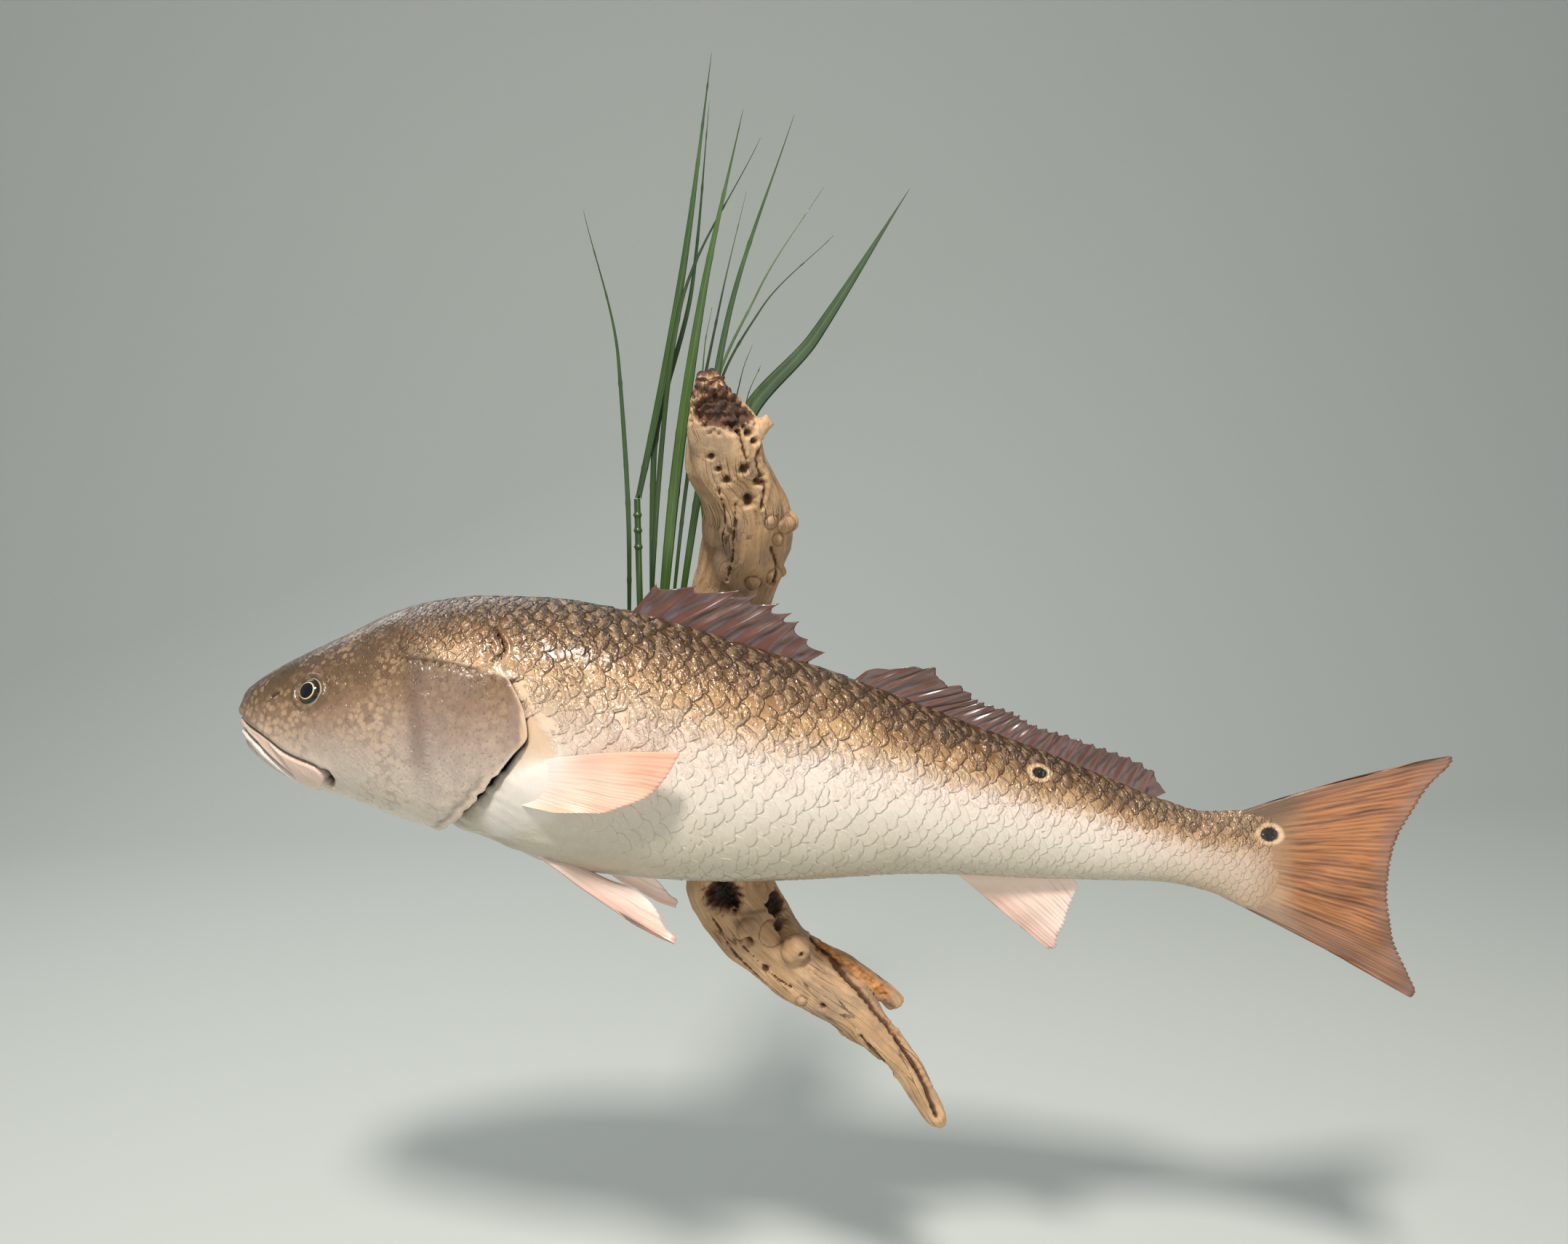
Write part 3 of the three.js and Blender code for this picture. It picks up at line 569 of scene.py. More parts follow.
def skin_grid():
    """Stations, angles, sides and fold depths for every point of the skin."""
    places, fold_rows = row_places()
    half_rows = np.stack([column_angles(x) for x in places])
    angles = np.concatenate([half_rows, half_rows[:, -2:0:-1]], axis=1)
    side = np.r_[np.ones(HALF_COLUMNS), -np.ones(HALF_COLUMNS - 2)]
    side = np.broadcast_to(side, angles.shape)
    base_x = np.broadcast_to(places[:, None], angles.shape)

    edge_angles = angles[fold_rows[0] - 1]
    edge = np.full(edge_angles.shape, FOLD_X)
    for _ in range(EDGE_PASSES):
        edge = mix(edge, gill_edge_at(body_point(edge, edge_angles, 1.0)[..., 2]), 0.6)
    edge_z = body_point(edge, edge_angles, 1.0)[..., 2]
    # The lower edge is finely scalloped.
    wave = np.sin(edge_z / 2.1 + 0.6 * np.sin(edge_z / 5)) + 0.6 * np.sin(edge_z / 1.1 + 1)
    edge = edge + 0.9 * wave * (1 - smooth(8, 26, edge_z)) * smooth(-46, -34, edge_z)

    # The rows near the gill edge bend to follow it.
    bend = (1 - np.clip(np.abs(base_x - FOLD_X) / FOLD_REACH, 0, 1) ** 2) ** 2
    x = base_x + (edge - FOLD_X) * bend
    depth = np.zeros(angles.shape)
    free = smooth(-47, -41, edge_z) * (1 - smooth(88, 101, edge_z))
    narrow = smooth(14, 44, edge_z)
    for row, wide, slim in zip(fold_rows, WIDE_FOLD, NARROW_FOLD):
        flat = base_x[row] - FOLD_X
        x[row] = edge + mix(flat, mix(wide[0], slim[0], narrow), free)
        depth[row] = mix(wide[1], slim[1], narrow) * free
    return x, angles, side, depth, fold_rows, edge, free


grid_x, grid_angle, grid_side, grid_depth, fold_rows, gill_x, gill_free = skin_grid()
ROWS, COLUMNS = grid_x.shape
base_points = body_point(grid_x, grid_angle, grid_side)
base_normals = body_normal(grid_x, grid_angle, grid_side)
aside = np.abs(base_points[..., 1] - middle_at(grid_x))
half_points = np.stack([grid_x, aside, base_points[..., 2]], axis=-1).reshape(-1, 3)
level = ((np.sin(grid_angle) + 1) / 2).ravel()


# ------------------------------------------------------------------ the relief of the head and body

# Each of these adds to `relief` where it stands, and gives the masks that it leaves. A term is a height
# in millimetres times a bell of some half width round a line of the head.


def carve_mouth(relief, points):
    """The lips, the slit between them, the upper jaw's blade and the pit at its end."""
    x = points[:, 0]
    groove, above_groove = reach_to(points, on_skin(LIP_GROOVE))
    slit, above_slit = reach_to(points, on_skin(MOUTH_SLIT))
    lower, above_lower = reach_to(points, on_skin(LOWER_LIP_EDGE))
    pit, _ = reach_to(points, on_skin(JAW_PIT, 12))
    maxilla = patch(points, MAXILLA, 2.2)
    open_slit = bell(slit, 1.8) * (1 - maxilla)
    relief += 1.5 * bell(groove - 4.5, 4.5) * above_groove
    relief += -3.6 * bell(groove, 1.15)
    relief += -7.5 * open_slit
    relief += 1.0 * bell(slit - 3.2, 2.2) * above_slit * (1 - maxilla)
    relief += 1.1 * bell(slit - 3.6, 2.6) * ~above_slit * (1 - maxilla)
    relief += -1.3 * bell(lower, 1.6)
    relief += 2.1 * maxilla
    relief += -9 * bell(pit, 3.1) * (1 - maxilla)
    relief += 1.6 * bell(spot_reach(points, JAW_BEAD), 2.0)

    lips = (~above_groove & (groove < 26) & above_slit & (slit < 30) & (x < -334)) * 1.0
    lips = np.maximum(lips * (1 - smooth(-345, -338, x)), maxilla)
    low_lip = (~above_slit & (slit < 9.5)) * above_lower * (x < -352) * (1 - lips)
    # Painted shade, the mask named dark: near black in the lip groove, the open mouth slit and the pit
    # at the jaw's end.
    shadow = [bell(groove, 1.25) * (x < -329), open_slit * 1.2, bell(pit, 3.0) * (1 - maxilla) * 1.2]
    return {"lip": lips, "low_lip": low_lip, "dark": np.maximum.reduce(shadow)}


def carve_eye_and_nostrils(relief, points):
    """A socket for the eye with a raised rim and a fold behind it, and the two nostrils."""
    eye = spot_reach(points, EYE)
    relief += 1.3 * bell(eye - 13.6, 1.9) - 0.8 * bell(eye - 17, 2.2)
    relief += -7 * (1 - smooth(6.5, 12.4, eye))
    behind = spot_reach(points, (EYE[0] + 7, EYE[1] + 7))
    relief += 0.8 * bell(behind - 13, 2.4) * smooth(-2, 6, points[:, 0] - EYE[0])
    slot, _ = reach_to(points, on_skin(NOSTRIL, 10))
    relief += -2.2 * bell(slot, 0.8) + 0.4 * bell(slot - 2.2, 1.2)
    pore = spot_reach(points, FRONT_NOSTRIL)
    relief += -0.7 * bell(pore, 1.5)
    # Painted shade in the two nostrils, the mask named dark.
    dark = np.maximum(bell(slot, 0.85) * 1.1, bell(pore, 1.0) * 0.4)
    return {"socket": bell(eye - 14, 4.5), "dark": dark}


def carve_cheek(relief, points):
    """The fold down the cheek, the seam and the notch at the nape, and the cheek's swell."""
    x, z = points[:, 0], points[:, 2]
    ridge, ridge_side = reach_to(points, on_skin(PREOPERCLE))
    ahead = np.where(ridge_side, ridge, -ridge)
    cheek_fold = 0.8 * bell(ahead + 4, 4) - 0.8 * bell(ahead - 3.5, 3.5)
    relief += cheek_fold * smooth(-6, 14, z) * (1 - smooth(68, 90, z))
    suture, above_suture = reach_to(points, on_skin(NAPE_SUTURE))
    relief += np.where(above_suture, 1.5, -1.4) * bell(suture - 1.8, 2.0)
    notch, _ = reach_to(points, on_skin(NOTCH))
    notch_fade = smooth(90, 100, z) * (1 - smooth(120, 130, z))
    relief += (-2.4 * bell(notch, 1.6) + 1.2 * bell(notch - 4, 2.4)) * notch_fade
    relief += 1.6 * bell(np.hypot(x - CHEEK[0], z - CHEEK[1]), 30)
    # Painted shade, the mask named dark, in the crease of the notch and along the seam at the nape.
    seam = bell(suture, 1.1) * 0.45 * smooth(-262, -245, x)
    return {"dark": np.maximum(bell(notch, 1.3) * notch_fade * 0.8, seam)}


def carve_fin_root(relief, points):
    """The smooth patch behind the gill edge and the fleshy swelling that carries the pectoral fin."""
    x, z = points[:, 0], points[:, 2]
    bare = patch(points, BARE_PATCH, 1.2)
    relief += -0.9 * bare
    root = patch(points, FIN_ROOT_PATCH, 20)
    relief += 4.5 * root * bell(np.hypot(x + 170, (z - 1) * 0.9), 24)
    return {"bare": bare, "flesh": root}


def carve_gill_edge(relief, points, rows):
    """The gill cover flares a little towards its free edge, the more the lower it is."""
    z = points[:, 2]
    to_edge = (np.broadcast_to(gill_x, grid_x.shape) - grid_x).ravel()
    inward = np.maximum(to_edge, 0)
    free = np.broadcast_to(gill_free, grid_x.shape).ravel()
    flare = mix(4.2, 1.2, smooth(-10, 75, z)) * free
    cover, trunk = rows < fold_rows[FOLD_TURN], rows >= fold_rows[FOLD_TURN]
    relief += flare * bell(inward, 26) * cover
    relief += -1.2 * bell(to_edge - 7, 3.4) * cover * free * (1 - smooth(0, 40, z))
    relief += -1.5 * bell(np.minimum(to_edge, 0) + 16, 12) * trunk * free

    # Painted shade, the mask named dark: a band just inside the cover's lower free edge, and the deep
    # pocket under the cover.
    edge_shade = bell(to_edge - 6.5, 2.2) * cover * free * (1 - smooth(0, 30, z))
    pocket = (rows > fold_rows[2]) & (rows < fold_rows[12])
    deep = smooth(2.0, 3.4, grid_depth.ravel()) * pocket
    rim = bell(inward, 2.4) * cover * (1 - deep) * free
    low_rim = bell(inward, 5.5) * cover * (1 - deep) * free * (1 - smooth(5, 30, z))
    return {"dark": np.maximum(0.4 * edge_shade, deep), "rim": np.maximum(0.6 * rim, low_rim)}


def slacken(relief, points, root):
    """Slack skin on the throat and the chest, and finer wrinkles on the snout and the nape."""
    x, z = points[:, 0], points[:, 2]
    folds = Ripple("throat folds", 26)(points * [0.45, 1, 1.8])
    relief += 0.7 * folds * bell(x + 200, 60) * (1 - smooth(-50, -25, z)) * (1 - root)
    wrinkles = Ripple("head wrinkles", 11)(points * [0.7, 1, 1.5])
    snout, nape = 1 - smooth(-330, -300, x), smooth(-300, -250, x) * (1 - smooth(-190, -150, x))
    relief += wrinkles * (0.08 * snout + 0.09 * nape)


def skin_relief(points, rows):
    """How far each point of the skin stands out, and the masks that its paint needs."""
    relief = np.zeros(len(points))
    found = [carve(relief, points) for carve in (
        carve_mouth, carve_eye_and_nostrils, carve_cheek, carve_fin_root)]
    found.append(carve_gill_edge(relief, points, rows))
    joined = {}
    for part in found:
        for key, mask in part.items():
            joined[key] = np.clip(np.maximum(mask, joined.get(key, 0)), 0, 1)
    slacken(relief, points, joined["flesh"])
    return relief, joined


grid_rows = np.repeat(np.arange(ROWS), COLUMNS)
relief, masks = skin_relief(half_points, grid_rows)
COAT_DEPTH = 1.0  # how far the skin lies under the flesh where scales cover it
HEAD_COAT_DEPTH = 0.35


def head_share(x, z):
    """1 on the head and 0 behind it: a sharp change at the gill edge, a slow one on the nape."""
    nape = smooth(84, 112, z)
    edge = mix(gill_edge_at(z), -252.0, nape)
    reach = mix(1.5, 34.0, nape)
    return 1 - smooth(edge - reach, edge + reach, x)


scaled = smooth(-205, -190, half_points[:, 0])
relief -= mix(HEAD_COAT_DEPTH, COAT_DEPTH, scaled)
rise = (relief - grid_depth.ravel()).reshape(ROWS, COLUMNS)
skin_points = base_points + base_normals * rise[..., None]


# ------------------------------------------------------------------ reading places off the skin

TABLE_X = np.arange(SNOUT_X, TAIL_X + 0.5, 1.0)
TABLE_ANGLE = np.linspace(-math.pi / 2, math.pi / 2, 241)


def skin_table(field):
    """A field of the grid's left half, read at even stations and angles."""
    kept = np.ones(ROWS, bool)
    kept[fold_rows[:11]] = False
    by_angle, by_angle_x = [], []
    for row in np.flatnonzero(kept):
        own = grid_angle[row, :HALF_COLUMNS]
        value = field[row, :HALF_COLUMNS].reshape(HALF_COLUMNS, -1)
        by_angle.append([np.interp(TABLE_ANGLE, own, column) for column in value.T])
        by_angle_x.append(np.interp(TABLE_ANGLE, own, grid_x[row, :HALF_COLUMNS]))
    by_angle, by_angle_x = np.array(by_angle), np.array(by_angle_x)
    table = np.empty((len(TABLE_X), len(TABLE_ANGLE), by_angle.shape[1]))
    for j in range(len(TABLE_ANGLE)):
        for k in range(by_angle.shape[1]):
            table[:, j, k] = np.interp(TABLE_X, by_angle_x[:, j], by_angle[:, k, j])
    return table


def grid_normals(points):
    """Outward directions of the dressed skin, from its neighbouring points."""
    along = np.gradient(points, axis=0)
    wrapped = np.concatenate([points[:, -1:], points, points[:, :1]], axis=1)
    around = (wrapped[:, 2:] - wrapped[:, :-2]) / 2
    normal = unit(np.cross(around, along))
    return normal * np.sign((normal * base_normals).sum(axis=-1, keepdims=True))


surface_table = skin_table(np.concatenate([skin_points, grid_normals(skin_points)], axis=-1))
TABLE_MASKS = ("bare", "flesh", "dark", "rim")
mask_table = skin_table(np.stack([masks[key].reshape(ROWS, COLUMNS) for key in TABLE_MASKS], axis=-1))


def read_table(table, x, angle):
    """Values between the table's own stations and angles."""
    i = np.clip((x - TABLE_X[0]) / (TABLE_X[1] - TABLE_X[0]), 0, len(TABLE_X) - 1.001)
    j = (angle - TABLE_ANGLE[0]) / (TABLE_ANGLE[1] - TABLE_ANGLE[0])
    j = np.clip(j, 0, len(TABLE_ANGLE) - 1.001)
    i0, j0 = i.astype(int), j.astype(int)
    s, t = (i - i0)[..., None], (j - j0)[..., None]
    low = mix(table[i0, j0], table[i0 + 1, j0], s)
    high = mix(table[i0, j0 + 1], table[i0 + 1, j0 + 1], s)
    return mix(low, high, t)


def fold_ring(ring):
    """A ring angle, left side -90 to 90 and right side 90 to 270, as angle and side."""
    ring = np.mod(ring + math.pi / 2, 2 * math.pi) - math.pi / 2
    right = ring > math.pi / 2
    return np.where(right, math.pi - ring, ring), np.where(right, -1.0, 1.0)


def on_fish(x, ring, height):
    """The point `height` above the dressed skin at a station and ring angle."""
    angle, side = fold_ring(ring)
    read = read_table(surface_table, x, angle)
    point, normal = read[..., :3], unit(read[..., 3:])
    middle = middle_at(x)
    point = point + normal * height[..., None]
    point[..., 1] = np.where(side > 0, point[..., 1], 2 * middle - point[..., 1])
    return point


# ------------------------------------------------------------------ scales

# How far apart the scales' free edges are along the fish, and how much taller than that they are.
SCALE_SIZE = [
    (-270, 7), (-235, 9), (-200, 11), (-120, 15), (0, 15.5), (150, 14), (280, 12), (360, 10), (425, 8),
    (458, 6.5),
]
SCALE_HEIGHT = 1.3
ROW_DRIFT, DRIFT_REACH = 0.16, 70  # how far whole rows wander, in scales, and over what distance
LEAST_GIRTH_RATE = 4.0
scale_size_at = monotone(*zip(*SCALE_SIZE))


NAPE_Z, NAPE_X = 99, -270  # above this height the body's scales run forwards to this station
BAKE_PATCH, BAKE_MARGIN = 0.003, 0.02  # a scale's own patch on the bake map, and the map's margin
# Sizes along and across are shares of the scales' spacing, and heights are millimetres.
FLANK_SCALE = {
    "length": 1.45, "width": 1.76, "thick": 0.3,
    "round": 0.36, "ragged": 0.05,  # how far the free edge draws back at its sides, and its unevenness
    "turn": 0.14,  # how much scales turn out of line, in radians
    "fade": 1.0,  # 1 if they lie flatter on the belly, the nape and by the tail
    "root": 0.95, "base": 0.2, "lift": 0.22,  # heights at the root, beyond it and at the tip
    "dome": 0.08, "lip": 0.14, "crumple": 0.3, "crumple_size": 4.6,
}
HEAD_SCALE = {
    "length": 1.3, "width": 1.2, "thick": 0.3, "round": 0.3, "ragged": 0.04, "turn": 0.3, "fade": 0.0,
    "root": 0.4, "base": 0.0, "lift": 0.08, "dome": 0.05, "lip": 0.0, "crumple": 0.02, "crumple_size": 3,
}


def girth_rate(x, ring):
    """Millimetres round the body for each radian of ring angle."""
    angle, _ = fold_ring(ring)
    turn, left = 0.04, np.ones_like(x)
    low = np.clip(angle - turn / 2, -math.pi / 2, math.pi / 2 - turn)
    step = body_point(x, low + turn, left) - body_point(x, low, left)
    return np.maximum(np.linalg.norm(step, axis=-1) / turn, LEAST_GIRTH_RATE)


def lattice(start, end, size_at, start_ring, name, height, wander):
    """Scale roots in staggered chains: station, ring angle and size, for the fish's left side.

    Chains lie half a scale apart along the fish. In a chain, scales are `height` times as far apart
    as their size, and each strays by up to `wander` of that.
    """
    draw = random_stream(name)
    fine = np.linspace(-math.pi / 2, math.pi / 2, 400)
    drift = Ripple(name + " drift", DRIFT_REACH)
    roots = []
    x, chain = start, 0
    while x < end:
        size = float(size_at(x))
        ring = body_point(np.full_like(fine, min(x, TAIL_X)), fine, np.ones_like(fine))
        length = np.r_[0, np.cumsum(np.linalg.norm(np.diff(ring, axis=0), axis=1))]
        middle = np.interp(start_ring, fine, length)
        pitch = size * height
        stagger = 0.5 * (chain % 2)
        first = math.ceil(-middle / pitch - stagger)
        last = math.floor((length[-1] - middle) / pitch - stagger)
        steps = np.arange(first, last + 1) + stagger
        at = middle + (steps + draw.uniform(-wander, wander, len(steps))) * pitch
        shift = draw.uniform(-wander, wander, len(steps)) * size
        place = np.stack([np.full(len(at), x), at, 0 * at], axis=1)
        shift = shift + ROW_DRIFT * size * drift(place)
        angle = np.interp(at, length, fine)
        keep = (at > 0) & (at < length[-1])
        roots.append(np.stack([x + shift, angle, np.full(len(steps), size)], axis=1)[keep])
        x += size / 2
        chain += 1
    return np.vstack(roots)


def scale_form(rows, columns):
    """One scale's points, root to tip and side to side, closest together at the tip."""
    to_tip = 1 - (1 - np.linspace(0, 1, rows + 1)) ** 1.5
    a, b = np.meshgrid(to_tip, np.linspace(-1, 1, columns + 1), indexing="ij")
    return a.ravel(), b.ravel()


def scale_faces(rows, columns):
    """The top of a scale, its edge, and the plain underside, over top points and rim points."""
    index = np.arange((rows + 1) * (columns + 1)).reshape(rows + 1, columns + 1)
    top = grid_faces(rows + 1, columns + 1)[:, ::-1]
    rim = np.r_[index[1:, 0], index[-1, 1:], index[-2:0:-1, -1]]
    under = index.size + np.arange(len(rim))
    chain_top = np.r_[index[0, 0], rim, index[0, -1]]
    chain_under = np.r_[index[0, 0], under, index[0, -1]]
    faces = [list(face) for face in top]
    for k in range(len(chain_top) - 1):
        corners = [chain_top[k], chain_top[k + 1], chain_under[k + 1], chain_under[k]]
        face = list(dict.fromkeys(corners))
        faces.append(face[::-1])
    faces.append(list(under[::-1]) + list(index[0]))
    is_top = np.arange(len(faces)) < len(top)
    return faces, rim, is_top


def how_proud(x, level):
    """1 where scales stand out most, less on the chest, the belly, the nape and by the tail."""
    proud = mix(0.5, 1.0, smooth(0.3, 0.7, level)) * mix(0.25, 1.0, smooth(-272, -130, x))
    proud = proud * mix(1.0, 0.35, smooth(400, 452, x))
    chest = (1 - smooth(-90, -20, x)) * (1 - smooth(0.2, 0.36, level))
    return proud * (1 - 0.4 * chest)


def bake_places(x, angle, a, b):
    """Each scale's patch on the bake map, at its root's place on an unwrapped side of the fish."""
    span = 1 - 2 * BAKE_MARGIN
    across = BAKE_MARGIN + span * (x - SNOUT_X) / (TAIL_X + 20 - SNOUT_X)
    up = BAKE_MARGIN + span * (angle / math.pi + 0.5)
    root = np.concatenate([across, up], axis=1)
    within = np.stack([a - 0.5, b / 2], axis=-1) * BAKE_PATCH
    return (root[:, None, :] + within).reshape(-1, 2)


def make_scales(name, roots, side, shape, rows, columns):
    """Scales over the skin, each a thin plate that starts in it and ends a little proud.

    A root is a station, a ring angle, a size and the station that the scale may not pass forwards.
    """
    draw = random_stream(name)
    a, b = scale_form(rows, columns)
    faces, rim, is_top = scale_faces(rows, columns)
    if side < 0:
        faces = [face[::-1] for face in faces]
    count = len(roots)
    x0, angle0, size, front = (roots[:, k, None] for k in range(4))
    ring0 = angle0 if side > 0 else math.pi - angle0
    root_level = (np.sin(angle0) + 1) / 2

    def vary(low, high):
        return draw.uniform(low, high, (count, 1))

    proud = mix(1.0, how_proud(x0, root_level), shape["fade"])
    lift = shape["lift"] * size / 10 * vary(0.6, 1.4) * proud
    jagged = np.sin(b * vary(2, 5) + vary(0, 6.3)) + 0.5 * np.sin(b * vary(7, 12) + vary(0, 6.3))
    rounding = 1 - shape["round"] * np.abs(b) ** vary(2.4, 3.4)
    along = size * shape["length"] * (a * rounding * (1 + shape["ragged"] * jagged) - 0.5)
    body = 0.8 + 0.2 * np.sin(math.pi * np.minimum(a * 1.2, 1))
    across = size * shape["width"] / 2 * b * body * vary(0.92, 1.08)
    height = shape["base"] + lift * a**2.2 - shape["root"] * (1 - a) ** 1.6
    height = height + shape["dome"] * size / 10 * (1 - b * b) * np.sin(math.pi * a**0.8) * proud
    height = height + shape["lip"] * bell(a - 0.88, 0.1) * proud - 0.2 * size / 10 * b * b * a
    turn = draw.normal(0, shape["turn"], (count, 1))
    u = along * np.cos(turn) - across * np.sin(turn)
    v = along * np.sin(turn) + across * np.cos(turn)
    x = np.maximum(x0 + u, front)
    ring = ring0 + side * v / girth_rate(np.minimum(x0, TAIL_X), ring0)
    station, beyond = np.minimum(x, TAIL_X), np.maximum(x - TAIL_X, 0)
    top = on_fish(station, ring, height)
    outward = unit(on_fish(station, ring, height + 1) - top)
    top[..., 0] += beyond
    shared = top + draw.normal(0, 40, (count, 1, 3))
    crumple = Ripple(name + " crumple", shape["crumple_size"])(shared)
    crumple = shape["crumple"] * crumple * np.sin(math.pi * np.clip(a, 0, 0.8)) * proud
    top = top + outward * crumple[..., None]
    under = top[:, rim] - outward[:, rim] * shape["thick"]

    points = np.concatenate([top, under], axis=1)
    order = np.r_[np.arange(len(a)), rim]
    spread = points.shape[:2]
    values = {
        "tip": np.broadcast_to(a[order], spread),
        "aside": np.broadcast_to(np.abs(b[order]), spread),
        "tint": np.broadcast_to(vary(0, 1), spread),
        "level": np.clip(root_level + v[:, order] / 240, 0, 1),
        "head": head_share(points[..., 0], points[..., 2]),
    }
    bake_map = bake_places(x0, angle0, a[order], b[order])
    faces = repeated(faces, *spread)
    return make_mesh(name, points.reshape(-1, 3), faces, values, bake_map, np.tile(is_top, count))


def read_masks(roots):
    """The skin's masks under scale roots, their height and the gill edge's station at that height."""
    place = roots[:, 0], roots[:, 1]
    bare, flesh, dark, rim = np.moveaxis(read_table(mask_table, *place), -1, 0)
    z = read_table(surface_table, *place)[:, 2]
    return bare, flesh, dark, rim, z, gill_edge_at(z)


def flank_roots():
    """Roots behind the gill edge and over the nape, but for the throat, the fin roots and the notch."""
    first_ring = math.radians(8)
    rows = lattice(
        NAPE_X - 2, TAIL_X - 4, scale_size_at, first_ring, "flank rows", SCALE_HEIGHT, 0.16)
    bare, flesh, _, _, z, edge = read_masks(rows)
    x = rows[:, 0]
    start = np.where(z > NAPE_Z, NAPE_X, edge + mix(6, 3, smooth(42, 66, z)))
    chest_x = np.interp(z, [-80, -60, -30, -12, 0], [-70, -95, -128, -150, -175])
    chest = (z < 0) & (x < chest_x)
    to_notch, _ = reach_to(np.stack([x, half_at(x, z), z], axis=1), on_skin(NOTCH))
    crease = (to_notch < 5.5) & (z > 90) & (z < 125)
    front = np.where(z > NAPE_Z, SNOUT_X + 1, edge + 1.5)
    keep = (x > start) & (bare < 0.3) & (flesh < 0.25) & ~chest & ~crease
    return np.column_stack([rows, front])[keep]


def head_roots():
    """Roots on the cheek and the gill cover, clear of the eye, the mouth, the chin and the brow."""
    size_at = monotone([-352, -300, -250, -190], [4.4, 5.6, 6.2, 6.6])
    rows = lattice(-358, -186, size_at, math.radians(10), "head rows", 0.95, 0.22)
    _, _, dark, rim, z, edge = read_masks(rows)
    x = rows[:, 0]
    before = x < np.where(z > NAPE_Z, NAPE_X + 2, edge - 4 - 9 * (1 - smooth(0, 30, z)))
    to_eye = np.hypot(x - EYE[0], z - EYE[1])
    chin_line = np.interp(x, [-358, -330, -290, -240, -190], [50, 30, 12, -4, -4])
    brow_line = np.interp(x, [-358, -330, -300], [60, 96, 200])
    keep = before & (dark < 0.2) & (rim < 0.2) & (to_eye > 18) & (z > chin_line) & (z < brow_line)
    return np.column_stack([rows, np.full(len(rows), SNOUT_X + 1)])[keep]


# ------------------------------------------------------------------ the painted colours of the fish

# Colours from the belly (0) to the back (1); the darkening below 0.42 towards the underside is painted
# shade under the belly.
FLANK_COLORS = [
    (0.0, srgb(170, 157, 134)), (0.2, srgb(200, 189, 170)), (0.42, srgb(222, 210, 196)),
    (0.6, srgb(226, 206, 192)), (0.68, srgb(218, 188, 160)), (0.76, srgb(188, 147, 104)),
    (0.85, srgb(124, 89, 56)), (0.95, srgb(76, 54, 34)),
]
HEAD_COLORS = [
    (0.0, srgb(214, 200, 182)), (0.2, srgb(204, 188, 172)), (0.38, srgb(182, 163, 149)),
    (0.52, srgb(158, 135, 118)), (0.64, srgb(134, 107, 84)), (0.76, srgb(102, 78, 54)),
    (1.0, srgb(64, 47, 31)),
]
# Black spots on the side: x, z, length, height, tilt in degrees, and how far their pale ring reaches.
SIDE_SPOTS = [(241, -11, 14, 8.5, -15, 1.55), (437, -69, 16, 12.5, -8, 1.5)]
LIP_COLOR, LOWER_LIP_COLOR = srgb(226, 194, 176), srgb(238, 228, 216)
# The first is near black painted shade, for the mouth slit, creases, pits, nostrils and the gill pocket.
PAINTED_SHADE_COLOR, RIM_COLOR = srgb(14, 10, 9), srgb(214, 188, 164)
BARE_COLOR, FIN_ROOT_COLOR = srgb(208, 176, 144), srgb(224, 214, 204)
SOCKET_COLOR = srgb(92, 70, 56)


def with_spots(paint, color):
    """Black spots with pale rings over a colour, their edges a little uneven."""
    x, z = paint.millimetres()
    for place_x, place_z, length, height, tilt, ring in SIDE_SPOTS:
        turn = math.radians(tilt)
        over, up = x - place_x, z - place_z
        along = (over * math.cos(turn) + up * math.sin(turn)) * (2 / length)
        across = (up * math.cos(turn) - over * math.sin(turn)) * (2 / height)
        reach = (along * along + across * across).power(0.5) + (paint.noise(220, 3) - 0.5) * 0.35
        color = paint.blend(1 - reach.above(ring - 0.2, ring + 0.25), color, srgb(216, 178, 138))
        color = paint.blend(1 - reach.above(0.82, 1.12), color, srgb(24, 17, 13))
    return color


def head_color(paint, shade, x, z):
    """Pale rounded cells behind the eye, grey streaks down the gill cover, and painted shade along the
    cheek fold.
    """
    color = paint.ramp(shade, HEAD_COLORS)
    patches = paint.noise(30, 4).above(0.38, 0.62) * (1 - x.above(-300, -225) * 0.6)
    cells = paint.cells(200) + (paint.noise(400, 3) - 0.5) * 0.5
    color = paint.blend((1 - cells.above(0.32, 0.6)) * patches * 0.34, color, srgb(210, 176, 138))
    color = paint.blend(cells.above(0.5, 0.75) * patches * 0.34, color, srgb(98, 74, 58))
    streaks = paint.noise(34, 4, 0.6, (1.0, 1.0, 0.22)).above(0.4, 0.66)
    color = paint.blend(streaks * x.above(-262, -236) * 0.4, color, srgb(134, 116, 110))
    # Painted shade: a darker band down the fold in front of the gill cover.
    fold = x.above(-264, -252) * (1 - x.above(-250, -240)) * z.above(0, 30)
    return paint.blend(fold * 0.5, color, srgb(100, 80, 70))


def fish_color(paint):
    """The colours that skin and scales share, from the level round the body and the place."""
    x, z = paint.millimetres()
    mottle = paint.noise(22, 5, 0.6) - 0.5
    fine = paint.noise(150, 4, 0.65) - 0.5
    shade = paint.carried("level") + mottle * 0.17 + fine * 0.08
    shade = shade + x.above(60, 420) * 0.07
    shoulder = (1 - x.above(-160, 20)) * shade.above(0.42, 0.62) * (1 - shade.above(0.7, 0.86))
    flank = paint.blend(shoulder * 0.6, paint.ramp(shade, FLANK_COLORS), srgb(214, 182, 152))
    head = head_color(paint, shade + fine * 0.1, x, z)
    color = paint.blend(paint.carried("head"), flank, head)
    color = paint.blend(x.above(270, 450) * 0.65, color, srgb(178, 144, 112))
    return paint.blend(x.above(415, 460) * 0.7, color, srgb(158, 108, 70))


